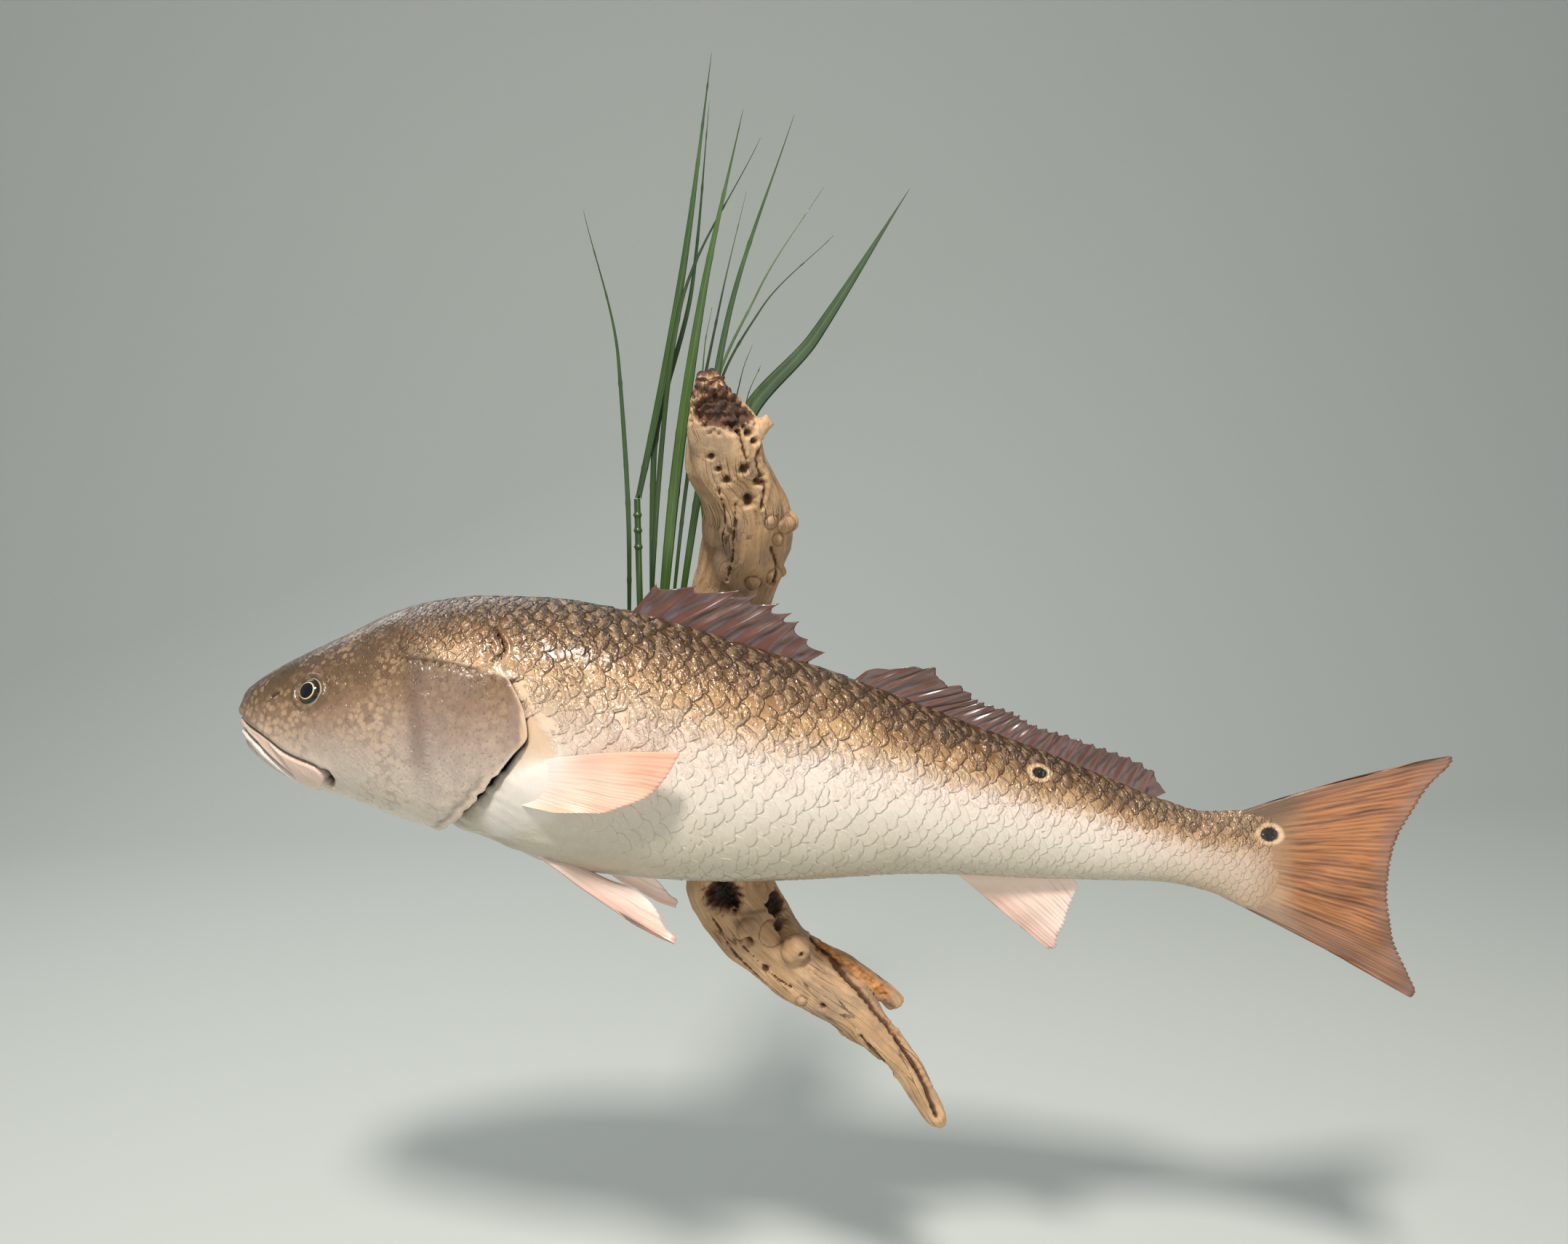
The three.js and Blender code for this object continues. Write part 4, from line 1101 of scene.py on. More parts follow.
def skin_paint():
    paint = Paint("fish skin", Coat_Weight=0.12, Coat_Roughness=0.1)
    color = fish_color(paint)
    # The mask named dark lays painted shade.
    layers = [
        ("bare", BARE_COLOR, 0.75), ("flesh", FIN_ROOT_COLOR, 0.9), ("rim", RIM_COLOR, 0.5),
        ("lip", LIP_COLOR, 0.85), ("low_lip", LOWER_LIP_COLOR, 0.95), ("socket", SOCKET_COLOR, 0.55),
        ("dark", PAINTED_SHADE_COLOR, 1.0),
    ]
    for mask, tone, strength in layers:
        color = paint.blend(paint.carried(mask) * strength, color, tone)
    color = with_spots(paint, color)
    smooth_part = paint.carried("flesh") * 0.7 + paint.carried("bare") * 0.5
    crinkle = paint.noise(200, 3, 0.5, (1.0, 1.0, 0.7), 0.8) * (1 - smooth_part)
    bump = paint.relief(crinkle, 0.0011, 0.8)
    return paint.show(Base_Color=color, Roughness=paint.noise(60) * 0.16 + 0.16, Normal=bump)


def scale_paint(name, crescent, sheen, spread):
    """Scales with `sheen` and tints that differ by up to `spread`. `crescent` sets how far the back's
    free edges darken, part pigment and part painted shade, and how much painted shade lies in the
    wrinkles; a painted highlight sits mid-scale on the back.
    """
    gloss = {"Coat_Weight": 0.1, "Coat_Roughness": 0.12, "Specular_IOR_Level": 0.45 + 2 * sheen}
    paint = Paint(name, Metallic=sheen, **gloss)
    color = fish_color(paint)
    tip, tint, level, aside = (paint.carried(key) for key in ("tip", "tint", "level", "aside"))
    upper = level.above(0.54, 0.76)
    darkest = (1 - spread, 1 - spread, 1 - spread, 1)
    shade = paint.ramp(tint, [(0.0, darkest), (1.0, (1.0, 1.0, 1.0, 1))])
    color = paint.blend(upper * 0.85 + 0.15, color, shade, "MULTIPLY")
    streaks = paint.noise(60, 4, 0.65, (1.0, 1.0, 0.6)).above(0.36, 0.54)
    out = tip + aside * aside * 0.1

    # Wrinkles that run with the free edge, broken up and never quite even.
    wander = paint.noise(120, 4, 0.6, (1.0, 1.0, 0.6), 0.8)
    fold = paint.math("PINGPONG", out * 4.5 + wander * 3.0 + tint * 2, 0.5)
    wrinkle = (1 - fold.above(0.0, 0.2)) * paint.noise(75, 3).above(0.38, 0.56)

    rim = out.above(0.87, 1.04)
    # The free edges' dark rims: part pigment, part painted shade.
    rim_pigment_and_shade = rim * (0.15 + streaks * 0.85) * (0.1 + upper * 0.9) * crescent
    # Painted shade in the wrinkles' valleys, most on the back.
    color = paint.blend(wrinkle * (0.06 + upper * 0.5) * crescent, color, srgb(70, 46, 28))
    color = paint.blend(rim_pigment_and_shade, color, srgb(62, 42, 27))
    # Painted highlight: a pale golden patch in the middle of each scale on the back.
    painted_highlight = tip.above(0.3, 0.55) * (1 - tip.above(0.6, 0.84)) * upper * 0.3
    color = with_spots(paint, paint.blend(painted_highlight, color, srgb(218, 180, 134)))
    crinkle = paint.noise(230, 3, 0.5, (1.0, 1.0, 0.5), 1.4)
    strength = (0.12 + level.above(0.4, 0.74) * 0.88) * (1 - paint.carried("head") * 0.6)
    bump = paint.relief((crinkle - wrinkle * 0.3) * strength, 0.0026, 0.9)
    return paint.show(Base_Color=color, Roughness=paint.noise(80) * 0.14 + 0.1, Normal=bump)


# ------------------------------------------------------------------ skin, coat and eyes

FLESH_NODES = [
    "head", "gill_cover_left", "gill_cover_right", "upper_jaw", "lower_jaw", "trunk", "tail_stock",
]
COAT_SPLIT = 0.6  # scales above this level are the back's, the others the flank's


def make_skin():
    points, faces = shell(skin_points)
    values = {key: with_hubs(numbers, ROWS, COLUMNS) for key, numbers in masks.items()}
    values["level"] = with_hubs(level, ROWS, COLUMNS)
    values["head"] = with_hubs(head_share(half_points[:, 0], half_points[:, 2]), ROWS, COLUMNS)
    skin = make_mesh("fish_skin", points, faces, values)
    add_piece(skin, skin_paint(), "head_skin", *FLESH_NODES)


def make_coat():
    back = scale_paint("back scales", 0.8, 0.18, 0.22)
    flank = scale_paint("flank scales", 0.7, 0.06, 0.16)
    head = scale_paint("head scales", 0.1, 0.0, 0.1)
    body = flank_roots()
    upper = (np.sin(body[:, 1]) + 1) / 2 > COAT_SPLIT
    coats = [
        ("back_scales", "back_scales", back, body[upper], FLANK_SCALE, (6, 8)),
        ("flank_scales", "flank_scales", flank, body[~upper], FLANK_SCALE, (6, 8)),
        ("head_scales", "head_skin", head, head_roots(), HEAD_SCALE, (4, 4)),
    ]
    for side, word in SIDES:
        for name, slot, material, roots, shape, grid in coats:
            coat = make_scales(f"{name}_{word}", roots, side, shape, *grid)
            add_piece(coat, material, slot)


EYE_SPHERE, EYE_RISE = 13.4, 3.9
PUPIL, PUPIL_RING, IRIS = 6.1, 7.0, 9.9  # radii, from the middle outwards


def eye_paint():
    gloss = {"Coat_Weight": 0.5, "Coat_Roughness": 0.02, "Specular_IOR_Level": 0.3}
    paint = Paint("eye glass", Roughness=0.08, **gloss)
    pupil, ring, iris = (radius / EYE_SPHERE for radius in (PUPIL, PUPIL_RING, IRIS))
    rings = paint.ramp(paint.carried("radius") * (1 / EYE_SPHERE), [
        (0.0, srgb(4, 4, 5)), (pupil - 0.006, srgb(5, 5, 6)), (pupil + 0.012, srgb(214, 196, 158)),
        (ring - 0.012, srgb(196, 170, 120)), (ring + 0.012, srgb(58, 42, 24)), (0.63, srgb(38, 28, 18)),
        (iris, srgb(24, 18, 14)), (iris + 0.05, srgb(176, 164, 148)),
    ])
    return paint.show(Base_Color=rings)


def make_eye(side, word, material):
    """A glass dome in its socket, coloured by the distance from its middle."""
    angle = np.arcsin((EYE[1] - widest_at(EYE[0])) / (top_at(EYE[0]) - widest_at(EYE[0])))
    x = np.array([float(EYE[0])])
    surface = body_point(x, np.array([angle]), np.array([side]))[0]
    outward = body_normal(x, np.array([angle]), np.array([side]))[0]
    over = unit(np.cross(outward, [0, 0, 1]))
    up = np.cross(over, outward)
    centre = surface + outward * (EYE_RISE - EYE_SPHERE)
    polar = np.linspace(0.02, 1.35, 44)[:, None, None]
    turn = np.linspace(0, 2 * math.pi, 72, endpoint=False)[None, :, None]
    rings = centre + EYE_SPHERE * (
        np.cos(polar) * outward + np.sin(polar) * (np.cos(turn) * over + np.sin(turn) * up))
    points, faces = shell(rings)
    radius = np.linalg.norm(np.cross(points - centre, outward), axis=1)
    eye = make_mesh("eye_glass_" + word, points, faces, {"radius": radius})
    add_piece(eye, material, "eye_glass", "eye_" + word)


# ------------------------------------------------------------------ fins

ACROSS_FISH = np.array([0.0, 1.0, 0.0])
SPINES = [  # root x, tip x, tip z
    (-94, -69, 151), (-79, -38, 148), (-62, -1, 144), (-48, 14, 140), (-31, 29, 132),
    (-13, 39, 124), (7, 45, 117), (27, 52, 102), (44, 66, 91),
]
WEB_DIP = 0.2
SOFT_FIN_ROOT = (86, 338)
SOFT_RAY_TIPS = [  # where on the fish a ray starts and where its tip is, both as x
    (86, 100), (94, 132), (106, 156), (118, 165), (131, 182), (145, 192), (158, 198), (173, 209),
    (188, 222), (214, 237), (244, 262), (338, 354),
]
SOFT_FIN_TIPS = [
    (96, 74), (111, 77), (143, 77.5), (158, 76), (165, 63.5), (181, 59.5), (194, 47.5), (224, 36.5),
    (240, 26.5), (276, 13.5), (310, 1), (331, -8), (347, -20), (354, -36),
]
TAIL_ROOT_X, TAIL_ROOT_Z, TAIL_TIP_Z = 404, (-54, -126), (-2, -211)
TAIL_FORK, TAIL_FORK_DEPTH, TAIL_OUT = (533, -106), (57, 35), (124, 147)
TAIL_CORNER, CORNER_START = 10.0, 0.88  # how far the tips are rounded off, and from which share out
ANAL_ROOT, ANAL_OUT = (168, 272), (109, 103)
ANAL_TIPS = [
    (258, -174), (265, -172), (265.5, -162), (270, -152), (274, -137), (279, -122), (282, -116),
]
PECTORAL_ROOT = [(-167, 21), (-185, -11)]
PECTORAL_TIPS = [
    (-52, 33), (-57, 24), (-66, 10.5), (-80, -2), (-97, -9), (-114, -14), (-130, -14), (-151, -14.5),
]
PECTORAL_STAND = {1: 30, -1: 7}
PELVIC_ROOT, PELVIC_ASIDE = [(-174, -56), (-148, -64)], (33, 42, 20)
PELVIC_TIPS = [(-62, -137), (-60, -131), (-66, -124), (-74, -110), (-84, -100), (-99, -92), (-122, -85)]
FIN_RIPPLE = 42  # how far apart the waves in a fin are
# The mesh has `per_ray` columns for each ray. A fin is `thick` at its root and edge, and `jag` says how
# ragged that edge is, `groove` how much thinner the webs are, `ripple` and `pleat` how far it waves.
FIN_SHAPES = {
    "spiny": dict(rays=8, per_ray=22, thick=(3.4, 1.3), jag=0.0, groove=0.6, ripple=0.8, pleat=0.9),
    "soft": dict(rays=24, per_ray=16, thick=(2.4, 0.9), jag=1.0, groove=0.6, ripple=1.2, pleat=0.5),
    "tail": dict(rays=24, per_ray=12, thick=(4.4, 1.2), jag=1.5, groove=0.2, ripple=1.0, pleat=0.0),
    "anal": dict(rays=9, per_ray=20, thick=(3, 0.9), jag=1.6, groove=0.4, ripple=1.0, pleat=0.0),
    "pectoral": dict(rays=14, per_ray=14, thick=(3.4, 0.8), jag=0.6, groove=0.05, ripple=1.8, pleat=0.0),
    "pelvic": dict(rays=8, per_ray=18, thick=(3.4, 0.8), jag=0.8, groove=0.1, ripple=1.2, pleat=0.0),
}


def places(x, out, z):
    return np.stack(np.broadcast_arrays(x, out, z), axis=-1).astype(float)


def fin_columns(kind):
    """0 to 1 across a fin, one number per column of its mesh."""
    shape = FIN_SHAPES[kind]
    return np.linspace(0, 1, shape["rays"] * shape["per_ray"] + 1)


def make_fin(name, kind, roots, tips, through=ACROSS_FISH, bow=(0.0, 0.0, 0.0), steps=26):
    """A thin fin: a column from each root to its tip, with a ridge over every ray."""
    shape = FIN_SHAPES[kind]
    rays, thick = shape["rays"], shape["thick"]
    draw = random_stream(name)
    u = fin_columns(kind)
    v = np.linspace(0, 1, steps) ** 0.9
    ray = np.abs(np.cos(math.pi * u * rays)) ** 2
    fine = np.abs(np.cos(2 * math.pi * u * rays)) ** 2
    jag = shape["jag"] * (1 - fine) * draw.uniform(0.3, 1.6, len(u))
    reach = np.linalg.norm(tips - roots, axis=1)
    tips = tips - (tips - roots) * (jag / np.maximum(reach, 1))[:, None]
    ridge = mix(ray[:, None], fine[:, None], smooth(0.45, 0.75, v)[None, :])
    run = roots[:, None] + (tips - roots)[:, None] * v[None, :, None]
    run = run + np.array(bow)[..., None, :] * (4 * v * (1 - v))[None, :, None]
    through = unit(np.broadcast_to(np.asarray(through, float), run.shape))
    sway = Ripple(name, FIN_RIPPLE)(run) * shape["ripple"] * v[None, :]
    pleat = np.sin(2 * math.pi * u * rays)[:, None] * shape["pleat"] * np.sin(math.pi * v)
    run = run + through * (sway + pleat)[..., None]
    ends = smooth(0, 0.012, u) * (1 - smooth(0.988, 1, u))
    raised = mix(1.0, 1 - shape["groove"] * (1 - ridge), smooth(0.16, 0.55, v)[None, :])
    half = mix(thick[0], thick[1], v)[None, :] / 2 * raised * ends[:, None]
    front, back = run - through * half[..., None], run + through * half[..., None]
    points, faces = shell(np.concatenate([front, back[:, ::-1]], axis=1))
    spread = np.broadcast_to(u[:, None], ridge.shape)
    length = np.broadcast_to(v[None, :], ridge.shape)
    values = {}
    for key, grid in (("ray", ridge), ("spread", spread), ("length", length)):
        both = np.concatenate([grid, grid[:, ::-1]], axis=1)
        values[key] = with_hubs(both, *both.shape)
    return make_mesh(name, points, faces, values)


def along_edge(tips, count):
    """Tips spread evenly along a fin's outer edge, as x and z."""
    line = resample(tips, count)
    return line[:, 0], line[:, 1]


def spiny_fin(material):
    """Nine spines, each with a web that sags to the next."""
    spines = np.array(SPINES, float)
    s = fin_columns("spiny") * (len(spines) - 1)
    k = np.minimum(s.astype(int), len(spines) - 2)
    f = s - k
    here, following = spines[k], spines[k + 1]
    between = (here[:, 0] + following[:, 0]) / 2
    dip_x = mix(mix(here[:, 1], following[:, 1], 0.35), between, WEB_DIP)
    dip_z = mix(mix(here[:, 2], following[:, 2], 0.35), top_at(between), WEB_DIP)

    def edge(start, dip, end):
        control = 2 * dip - (start + end) / 2
        return (1 - f) ** 2 * start + 2 * f * (1 - f) * control + f**2 * end

    tip_x, tip_z = edge(here[:, 1], dip_x, following[:, 1]), edge(here[:, 2], dip_z, following[:, 2])
    root_x = mix(here[:, 0], following[:, 0], f)
    roots = places(root_x, middle_at(root_x), top_at(root_x) - 7)
    tips = places(tip_x, middle_at(root_x), tip_z)
    fin = make_fin("first_dorsal_fin", "spiny", roots, tips)
    add_piece(fin, material, "dorsal_fin", "dorsal_fin_spiny")


def soft_fin(material):
    t = fin_columns("soft")
    x = mix(SOFT_FIN_ROOT[0], SOFT_FIN_ROOT[1], t)
    tip_x = monotone(*zip(*SOFT_RAY_TIPS))(x)
    tip_z = monotone(*zip(*SOFT_FIN_TIPS))(tip_x)
    teeth = 3.2 * (1 - np.abs(np.cos(math.pi * t * FIN_SHAPES["soft"]["rays"])) ** 0.8)
    roots = places(x, middle_at(x), top_at(x) - 6)
    tips = places(tip_x - teeth, middle_at(x), tip_z - teeth * 0.7)
    fin = make_fin("second_dorsal_fin", "soft", roots, tips)
    add_piece(fin, material, "dorsal_fin", "dorsal_fin_soft")


def tail_fin(material):
    t = fin_columns("tail")
    z = mix(TAIL_TIP_Z[0], TAIL_TIP_Z[1], t)
    lower = (z < TAIL_FORK[1]).astype(int)
    to_tip = np.abs((z - TAIL_FORK[1]) / (np.array(TAIL_TIP_Z)[lower] - TAIL_FORK[1]))
    corner = np.clip((to_tip - CORNER_START) / (1 - CORNER_START), 0, 1)
    rounding = TAIL_CORNER * (1 - np.sqrt(1 - corner**2))
    x = TAIL_FORK[0] + np.array(TAIL_FORK_DEPTH)[lower] * to_tip**2 - rounding
    roots = places(TAIL_ROOT_X, TAIL_OUT[0], mix(TAIL_ROOT_Z[0], TAIL_ROOT_Z[1], t))
    bow = places(0 * t, 0 * t, 3.5 * to_tip**3)
    fin = make_fin("tail_fin", "tail", roots, places(x, TAIL_OUT[1], z), bow=bow, steps=40)
    add_piece(fin, material, "tail_fin", "caudal_fin")


def anal_fin(material):
    t = fin_columns("anal")
    x = mix(ANAL_ROOT[0], ANAL_ROOT[1], t)
    tip_x, tip_z = along_edge(ANAL_TIPS, len(t))
    roots = places(x, ANAL_OUT[0], bottom_at(x) + 7)
    tips = places(tip_x, mix(ANAL_OUT[1], ANAL_OUT[0], t), tip_z)
    add_piece(make_fin("belly_fin", "anal", roots, tips), material, "pale_fin", "anal_fin")


def pectoral_fin(side, word, material):
    t = fin_columns("pectoral")
    x, z = (mix(PECTORAL_ROOT[0][k], PECTORAL_ROOT[1][k], t) for k in (0, 1))
    tip_x, tip_z = along_edge(PECTORAL_TIPS, len(t))
    reach = (tip_x - x) / (PECTORAL_TIPS[0][0] - PECTORAL_ROOT[0][0])
    off = PECTORAL_STAND[side] * (0.2 + 0.8 * reach)
    roots = places(x, middle_at(x) + side * (half_at(x, z) - 8), z)
    tips = places(tip_x, middle_at(tip_x) + side * (half_at(tip_x, tip_z) + off), tip_z)
    bow = places(0 * t, side * 3 + 0 * t, 4 * (1 - t))
    through = (-0.24 * side, 1, 0.13 * side)
    fin = make_fin("pectoral_" + word, "pectoral", roots, tips, through, bow)
    add_piece(fin, material, "pale_fin", "pectoral_fin_" + word)


def pelvic_fin(side, word, material):
    t = fin_columns("pelvic")
    x, z = (mix(PELVIC_ROOT[0][k], PELVIC_ROOT[1][k], t) for k in (0, 1))
    tip_x, tip_z = along_edge(PELVIC_TIPS, len(t))
    middle = middle_at(PELVIC_ROOT[0][0])
    roots = places(x, middle + side * mix(PELVIC_ASIDE[0], PELVIC_ASIDE[0] - 8, t), z)
    tips = places(tip_x, middle + side * mix(PELVIC_ASIDE[1], PELVIC_ASIDE[2], t), tip_z)
    bow = places(0 * t, 0 * t, -4 * (1 - t))
    through = (-0.4, -0.67 * side, -0.63)
    fin = make_fin("pelvic_" + word, "pelvic", roots, tips, through, bow)
    add_piece(fin, material, "pale_fin", "pelvic_fin_" + word)


def dorsal_paint():
    paint = Paint("dorsal fins", Coat_Weight=0.5, Coat_Roughness=0.08)
    ray, spread, length = (paint.carried(key) for key in ("ray", "spread", "length"))
    streaks = paint.noise(1.0, 4, 0.6, at=paint.grain(spread * 60, length * 2))
    web = paint.blend(streaks.above(0.3, 0.7), srgb(72, 50, 44), srgb(92, 76, 78))
    color = paint.blend(ray.above(0.1, 0.8), web, srgb(94, 56, 42))
    color = paint.blend(length.above(0.4, 1.0) * 0.4, color, srgb(76, 47, 37))
    color = paint.blend(paint.noise(90, 4).above(0.4, 0.8) * 0.4, color, srgb(58, 40, 33))
    return paint.show(Base_Color=color, Roughness=paint.noise(120) * 0.2 + 0.2)


def tail_paint():
    """Copper webs with dark streaks down the rays, a greyer rim, and the body's colours at the root."""
    paint = Paint("tail fin", Coat_Weight=0.35, Coat_Roughness=0.12)
    ray, spread, length = (paint.carried(key) for key in ("ray", "spread", "length"))
    streaks = paint.noise(1.0, 5, 0.65, distortion=0.5, at=paint.grain(spread * 34, length * 2.2))
    color = paint.ramp(ray * 0.12 + streaks * 0.88, [
        (0.34, srgb(84, 50, 28)), (0.46, srgb(138, 84, 46)), (0.6, srgb(176, 114, 64)),
    ])
    from_middle = (spread * 2 - 0.85).power(2.0) * 1.2
    color = paint.blend(from_middle.above(0.45, 1.0) * 0.5, color, srgb(128, 96, 80))
    color = paint.blend(length.above(0.86, 0.98) * 0.6, color, srgb(124, 94, 80))
    root = paint.ramp(spread, [
        (0.1, srgb(106, 78, 54)), (0.36, srgb(160, 124, 92)), (0.7, srgb(180, 146, 114)),
        (0.9, srgb(152, 124, 100)),
    ])
    fade = length + (paint.noise(60, 5, 0.65) - 0.5) * 0.2
    color = paint.blend(1 - fade.above(0.24, 0.48), color, root)
    color = with_spots(paint, color)
    bump = paint.relief(streaks, 0.0016, 0.7)
    return paint.show(Base_Color=color, Roughness=paint.noise(120) * 0.2 + 0.24, Normal=bump)


def pale_fin_paint(name, root, middle, tip, line):
    paint = Paint(name, Coat_Weight=0.35, Coat_Roughness=0.12)
    ray, length = paint.carried("ray"), paint.carried("length")
    outwards = length + (paint.noise(60, 4) - 0.5) * 0.25
    color = paint.ramp(outwards, [(0.2, root), (0.55, middle), (0.95, tip)])
    spread = paint.carried("spread")
    edge = (1 - spread.above(0.02, 0.4)) * length.above(0.16, 0.45)
    color = paint.blend(edge * 0.5, color, line)
    streaks = paint.noise(1.0, 4, 0.55, distortion=0.3, at=paint.grain(spread * 26, length * 1.6))
    color = paint.blend((1 - streaks.above(0.34, 0.5)) * length.above(0.2, 0.6) * 0.45, color, line)
    bump = paint.relief(streaks * 0.8 + ray * 0.1, 0.0007, 0.7)
    return paint.show(Base_Color=color, Roughness=paint.noise(120) * 0.2 + 0.3, Normal=bump)


make_skin()
make_coat()
glass = eye_paint()
dorsal = dorsal_paint()
pectoral = pale_fin_paint(
    "pectoral fins", srgb(224, 214, 204), srgb(232, 200, 178), srgb(234, 190, 164), srgb(218, 146, 118))
pelvic = pale_fin_paint(
    "belly fins", srgb(226, 200, 182), srgb(236, 206, 190), srgb(238, 214, 200), srgb(190, 140, 122))
for side, word in SIDES:
    make_eye(side, word, glass)
    pectoral_fin(side, word, pectoral)
    pelvic_fin(side, word, pelvic)
spiny_fin(dorsal)
soft_fin(dorsal)
tail_fin(tail_paint())
anal_fin(pelvic)


# ------------------------------------------------------------------ driftwood

MAIN_LIMB = [  # x, out, z, half width, half thickness
    (-26, 168, 311, 9, 10), (-24, 160, 294, 18, 17), (-14, 148, 268, 29, 23), (-12, 134, 246, 30, 26),
    (-4, 121, 229, 30, 27), (5, 104, 205, 34, 28), (6, 88, 184, 36, 28), (0, 72, 166, 36, 27),
    (-5, 60, 148, 35, 26), (-11, 50, 128, 34, 25), (-10, 36, 80, 36, 27), (0, 27, 20, 38, 30),
    (-2, 27, -30, 38, 30), (-14, 36, -80, 35, 27), (-20, 47, -125, 31, 26), (0, 52, -158, 30, 26),
    (28, 58, -185, 29, 25), (50, 62, -206, 27, 24), (70, 67, -220, 24, 22), (93, 75, -236, 21, 19),
    (114, 82, -256, 16.5, 16), (134, 90, -277, 13.5, 13), (151, 97, -309, 10, 10),
    (163, 101, -327, 7, 7), (167, 102, -333, 3, 3),
]
SIDE_LIMB = [
    (4, 38, -84, 13, 13), (19, 42, -134, 11, 12), (41, 50, -170, 11, 12), (68, 55, -188, 10, 10),
    (100, 57, -207, 10, 9), (124, 57, -228, 9, 9), (134, 57, -238, 7, 7),
]
TWIG = [(4, 149, 264, 6.4, 6.4), (12, 153, 271, 6, 6), (21, 156.5, 278, 5.2, 5.2)]
KNOTS = [(42, 84, -170, 13), (0, 78, -156, 10), (85, 78, -248, 7), (37, 96, 197, 9), (30, 78, 155, 8)]
# Holes and burrs seen from the front: x, z, radius and depth. A rise is a depth below 0.
WORM_HOLES = [
    (-9, 271, 3.6, 7), (-25, 250, 2.6, 4), (0, 240, 3.4, 7), (-20, 240, 2.2, 4), (-13, 231, 3, 4),
    (12, 231, 3.4, 7), (4, 216, 4.2, 8), (4, 268, 3.2, 6), (1, 281, 3, 5), (8, 262, 2.6, 5),
    (0, -165, 4.6, 10), (46, -174, 2.4, 5), (30, -154, 5, 8), (64, -223, 2.6, 4), (15, -191, 3.4, 2),
]
BURRS = [
    (23, 198, 4, -2), (36, 195, 5, -2.5), (30, 183, 3.5, -2), (27, 152, 5, -3), (9, 147, 4.5, -2.5),
    (20, -160, 7, -2), (46, -220, 3, -2),
]
# Cracks seen from the front, as x and z, then width and depth.
CRACKS = [
    ([(-10, 290), (-2, 262), (4, 240)], 1.1, 2.4),
    ([(14, 262), (10, 246), (16, 228), (14, 210)], 1.2, 2.6),
    ([(-6, 214), (-7, 190), (-9, 168), (-12, 150)], 0.9, 1.8),
    ([(-20, 226), (-14, 200), (-16, 178)], 0.8, 1.4),
    ([(24, 176), (28, 160), (24, 146)], 1.4, 3),
    ([(-30, -150), (-12, -178), (12, -204), (38, -226)], 1.2, 2),
    ([(58, -172), (82, -199), (106, -225), (124, -247)], 2.0, 4.5),
    ([(122, -245), (142, -275), (153, -297), (161, -320)], 2.0, 4.0),
    ([(96, -250), (112, -268), (122, -284)], 1.8, 3.4),
    ([(-4, -172), (14, -190), (40, -210)], 0.7, 1.2),
]
# The rotten bowl under the broken top, then the gaps between roots: x, z, half sizes, depth, darkness.
# The darkness is painted shade in the hollows, with the rot's own colour too in the bowl.
HOLLOWS = [(-14, 284, 26, 15, 4.5, 0.72), (-20, -127, 17, 14, 11, 1.0), (28, -139, 8, 10, 8, 1.0)]
LEDGE = (-30, 22, -142)  # where the shelf over the lower limb starts and ends, and its height
DECAY = [(66, -180), (84, -192), (104, -206), (122, -224)]  # the soft orange strip
VOXEL = 1.5 * MM


def limb_rings(stations, per_station, around):
    """Rings square to a limb's middle line, a little lumpy."""
    stations = np.array(stations, float)
    count = (len(stations) - 1) * per_station + 1
    at = np.linspace(0, len(stations) - 1, count)
    own = np.arange(len(stations))
    middle = np.stack([monotone(own, stations[:, k])(at) for k in range(3)], axis=1)
    wide, thick = (monotone(own, stations[:, k])(at) for k in (3, 4))
    along = unit(np.gradient(middle, axis=0))
    sideways = unit(np.cross(ACROSS_FISH, along))
    through = unit(np.cross(along, sideways))
    angle = np.linspace(0, 2 * math.pi, around, endpoint=False)[None, :]
    lump = 1 + 0.05 * np.sin(3 * angle + 0.5 * at[:, None])
    lump = lump + 0.03 * np.sin(5 * angle - 0.9 * at[:, None])
    across = (np.cos(angle) * wide[:, None] * lump)[..., None] * sideways[:, None]
    deep = (np.sin(angle) * thick[:, None] * lump)[..., None] * through[:, None]
    return middle[:, None] + across + deep


def ball(x, out, z, radius):
    """Rings of points over a sphere."""
    polar = np.linspace(0.1, math.pi - 0.1, 13)[:, None, None]
    turn = np.linspace(0, 2 * math.pi, 22, endpoint=False)[None, :, None]
    ring = np.cos(turn) * np.array([1, 0, 0]) + np.sin(turn) * ACROSS_FISH
    return np.array([x, out, z]) + radius * (np.sin(polar) * ring + np.cos(polar) * np.array([0, 0, 1]))


def fused(name, shells, voxel):
    """One skin round several overlapping closed forms: points, faces and outward directions."""
    points, faces, offset = [], [], 0
    for own_points, own_faces in shells:
        points.append(own_points)
        faces += [np.asarray(face) + offset for face in own_faces]
        offset += len(own_points)
    rough = make_mesh(name, np.vstack(points), faces)
    cover = rough.modifiers.new("cover", "REMESH")
    cover.mode, cover.voxel_size = "VOXEL", voxel
    bpy.context.view_layer.update()
    done = rough.evaluated_get(bpy.context.evaluated_depsgraph_get())
    mesh = bpy.data.meshes.new_from_object(done)
    count = len(mesh.vertices)
    points, normals = np.empty(count * 3, np.float32), np.empty(count * 3, np.float32)
    mesh.vertices.foreach_get("co", points)
    mesh.vertices.foreach_get("normal", normals)
    starts, corners = np.empty(len(mesh.polygons), np.int32), np.empty(len(mesh.loops), np.int32)
    mesh.polygons.foreach_get("loop_start", starts)
    mesh.loops.foreach_get("vertex_index", corners)
    bpy.data.objects.remove(rough)
    bpy.data.meshes.remove(mesh)
    sizes = np.diff(np.r_[starts, len(corners)])
    flip = np.array([1, -1, 1])
    return points.reshape(-1, 3) * flip / MM, (corners, sizes), normals.reshape(-1, 3) * flip


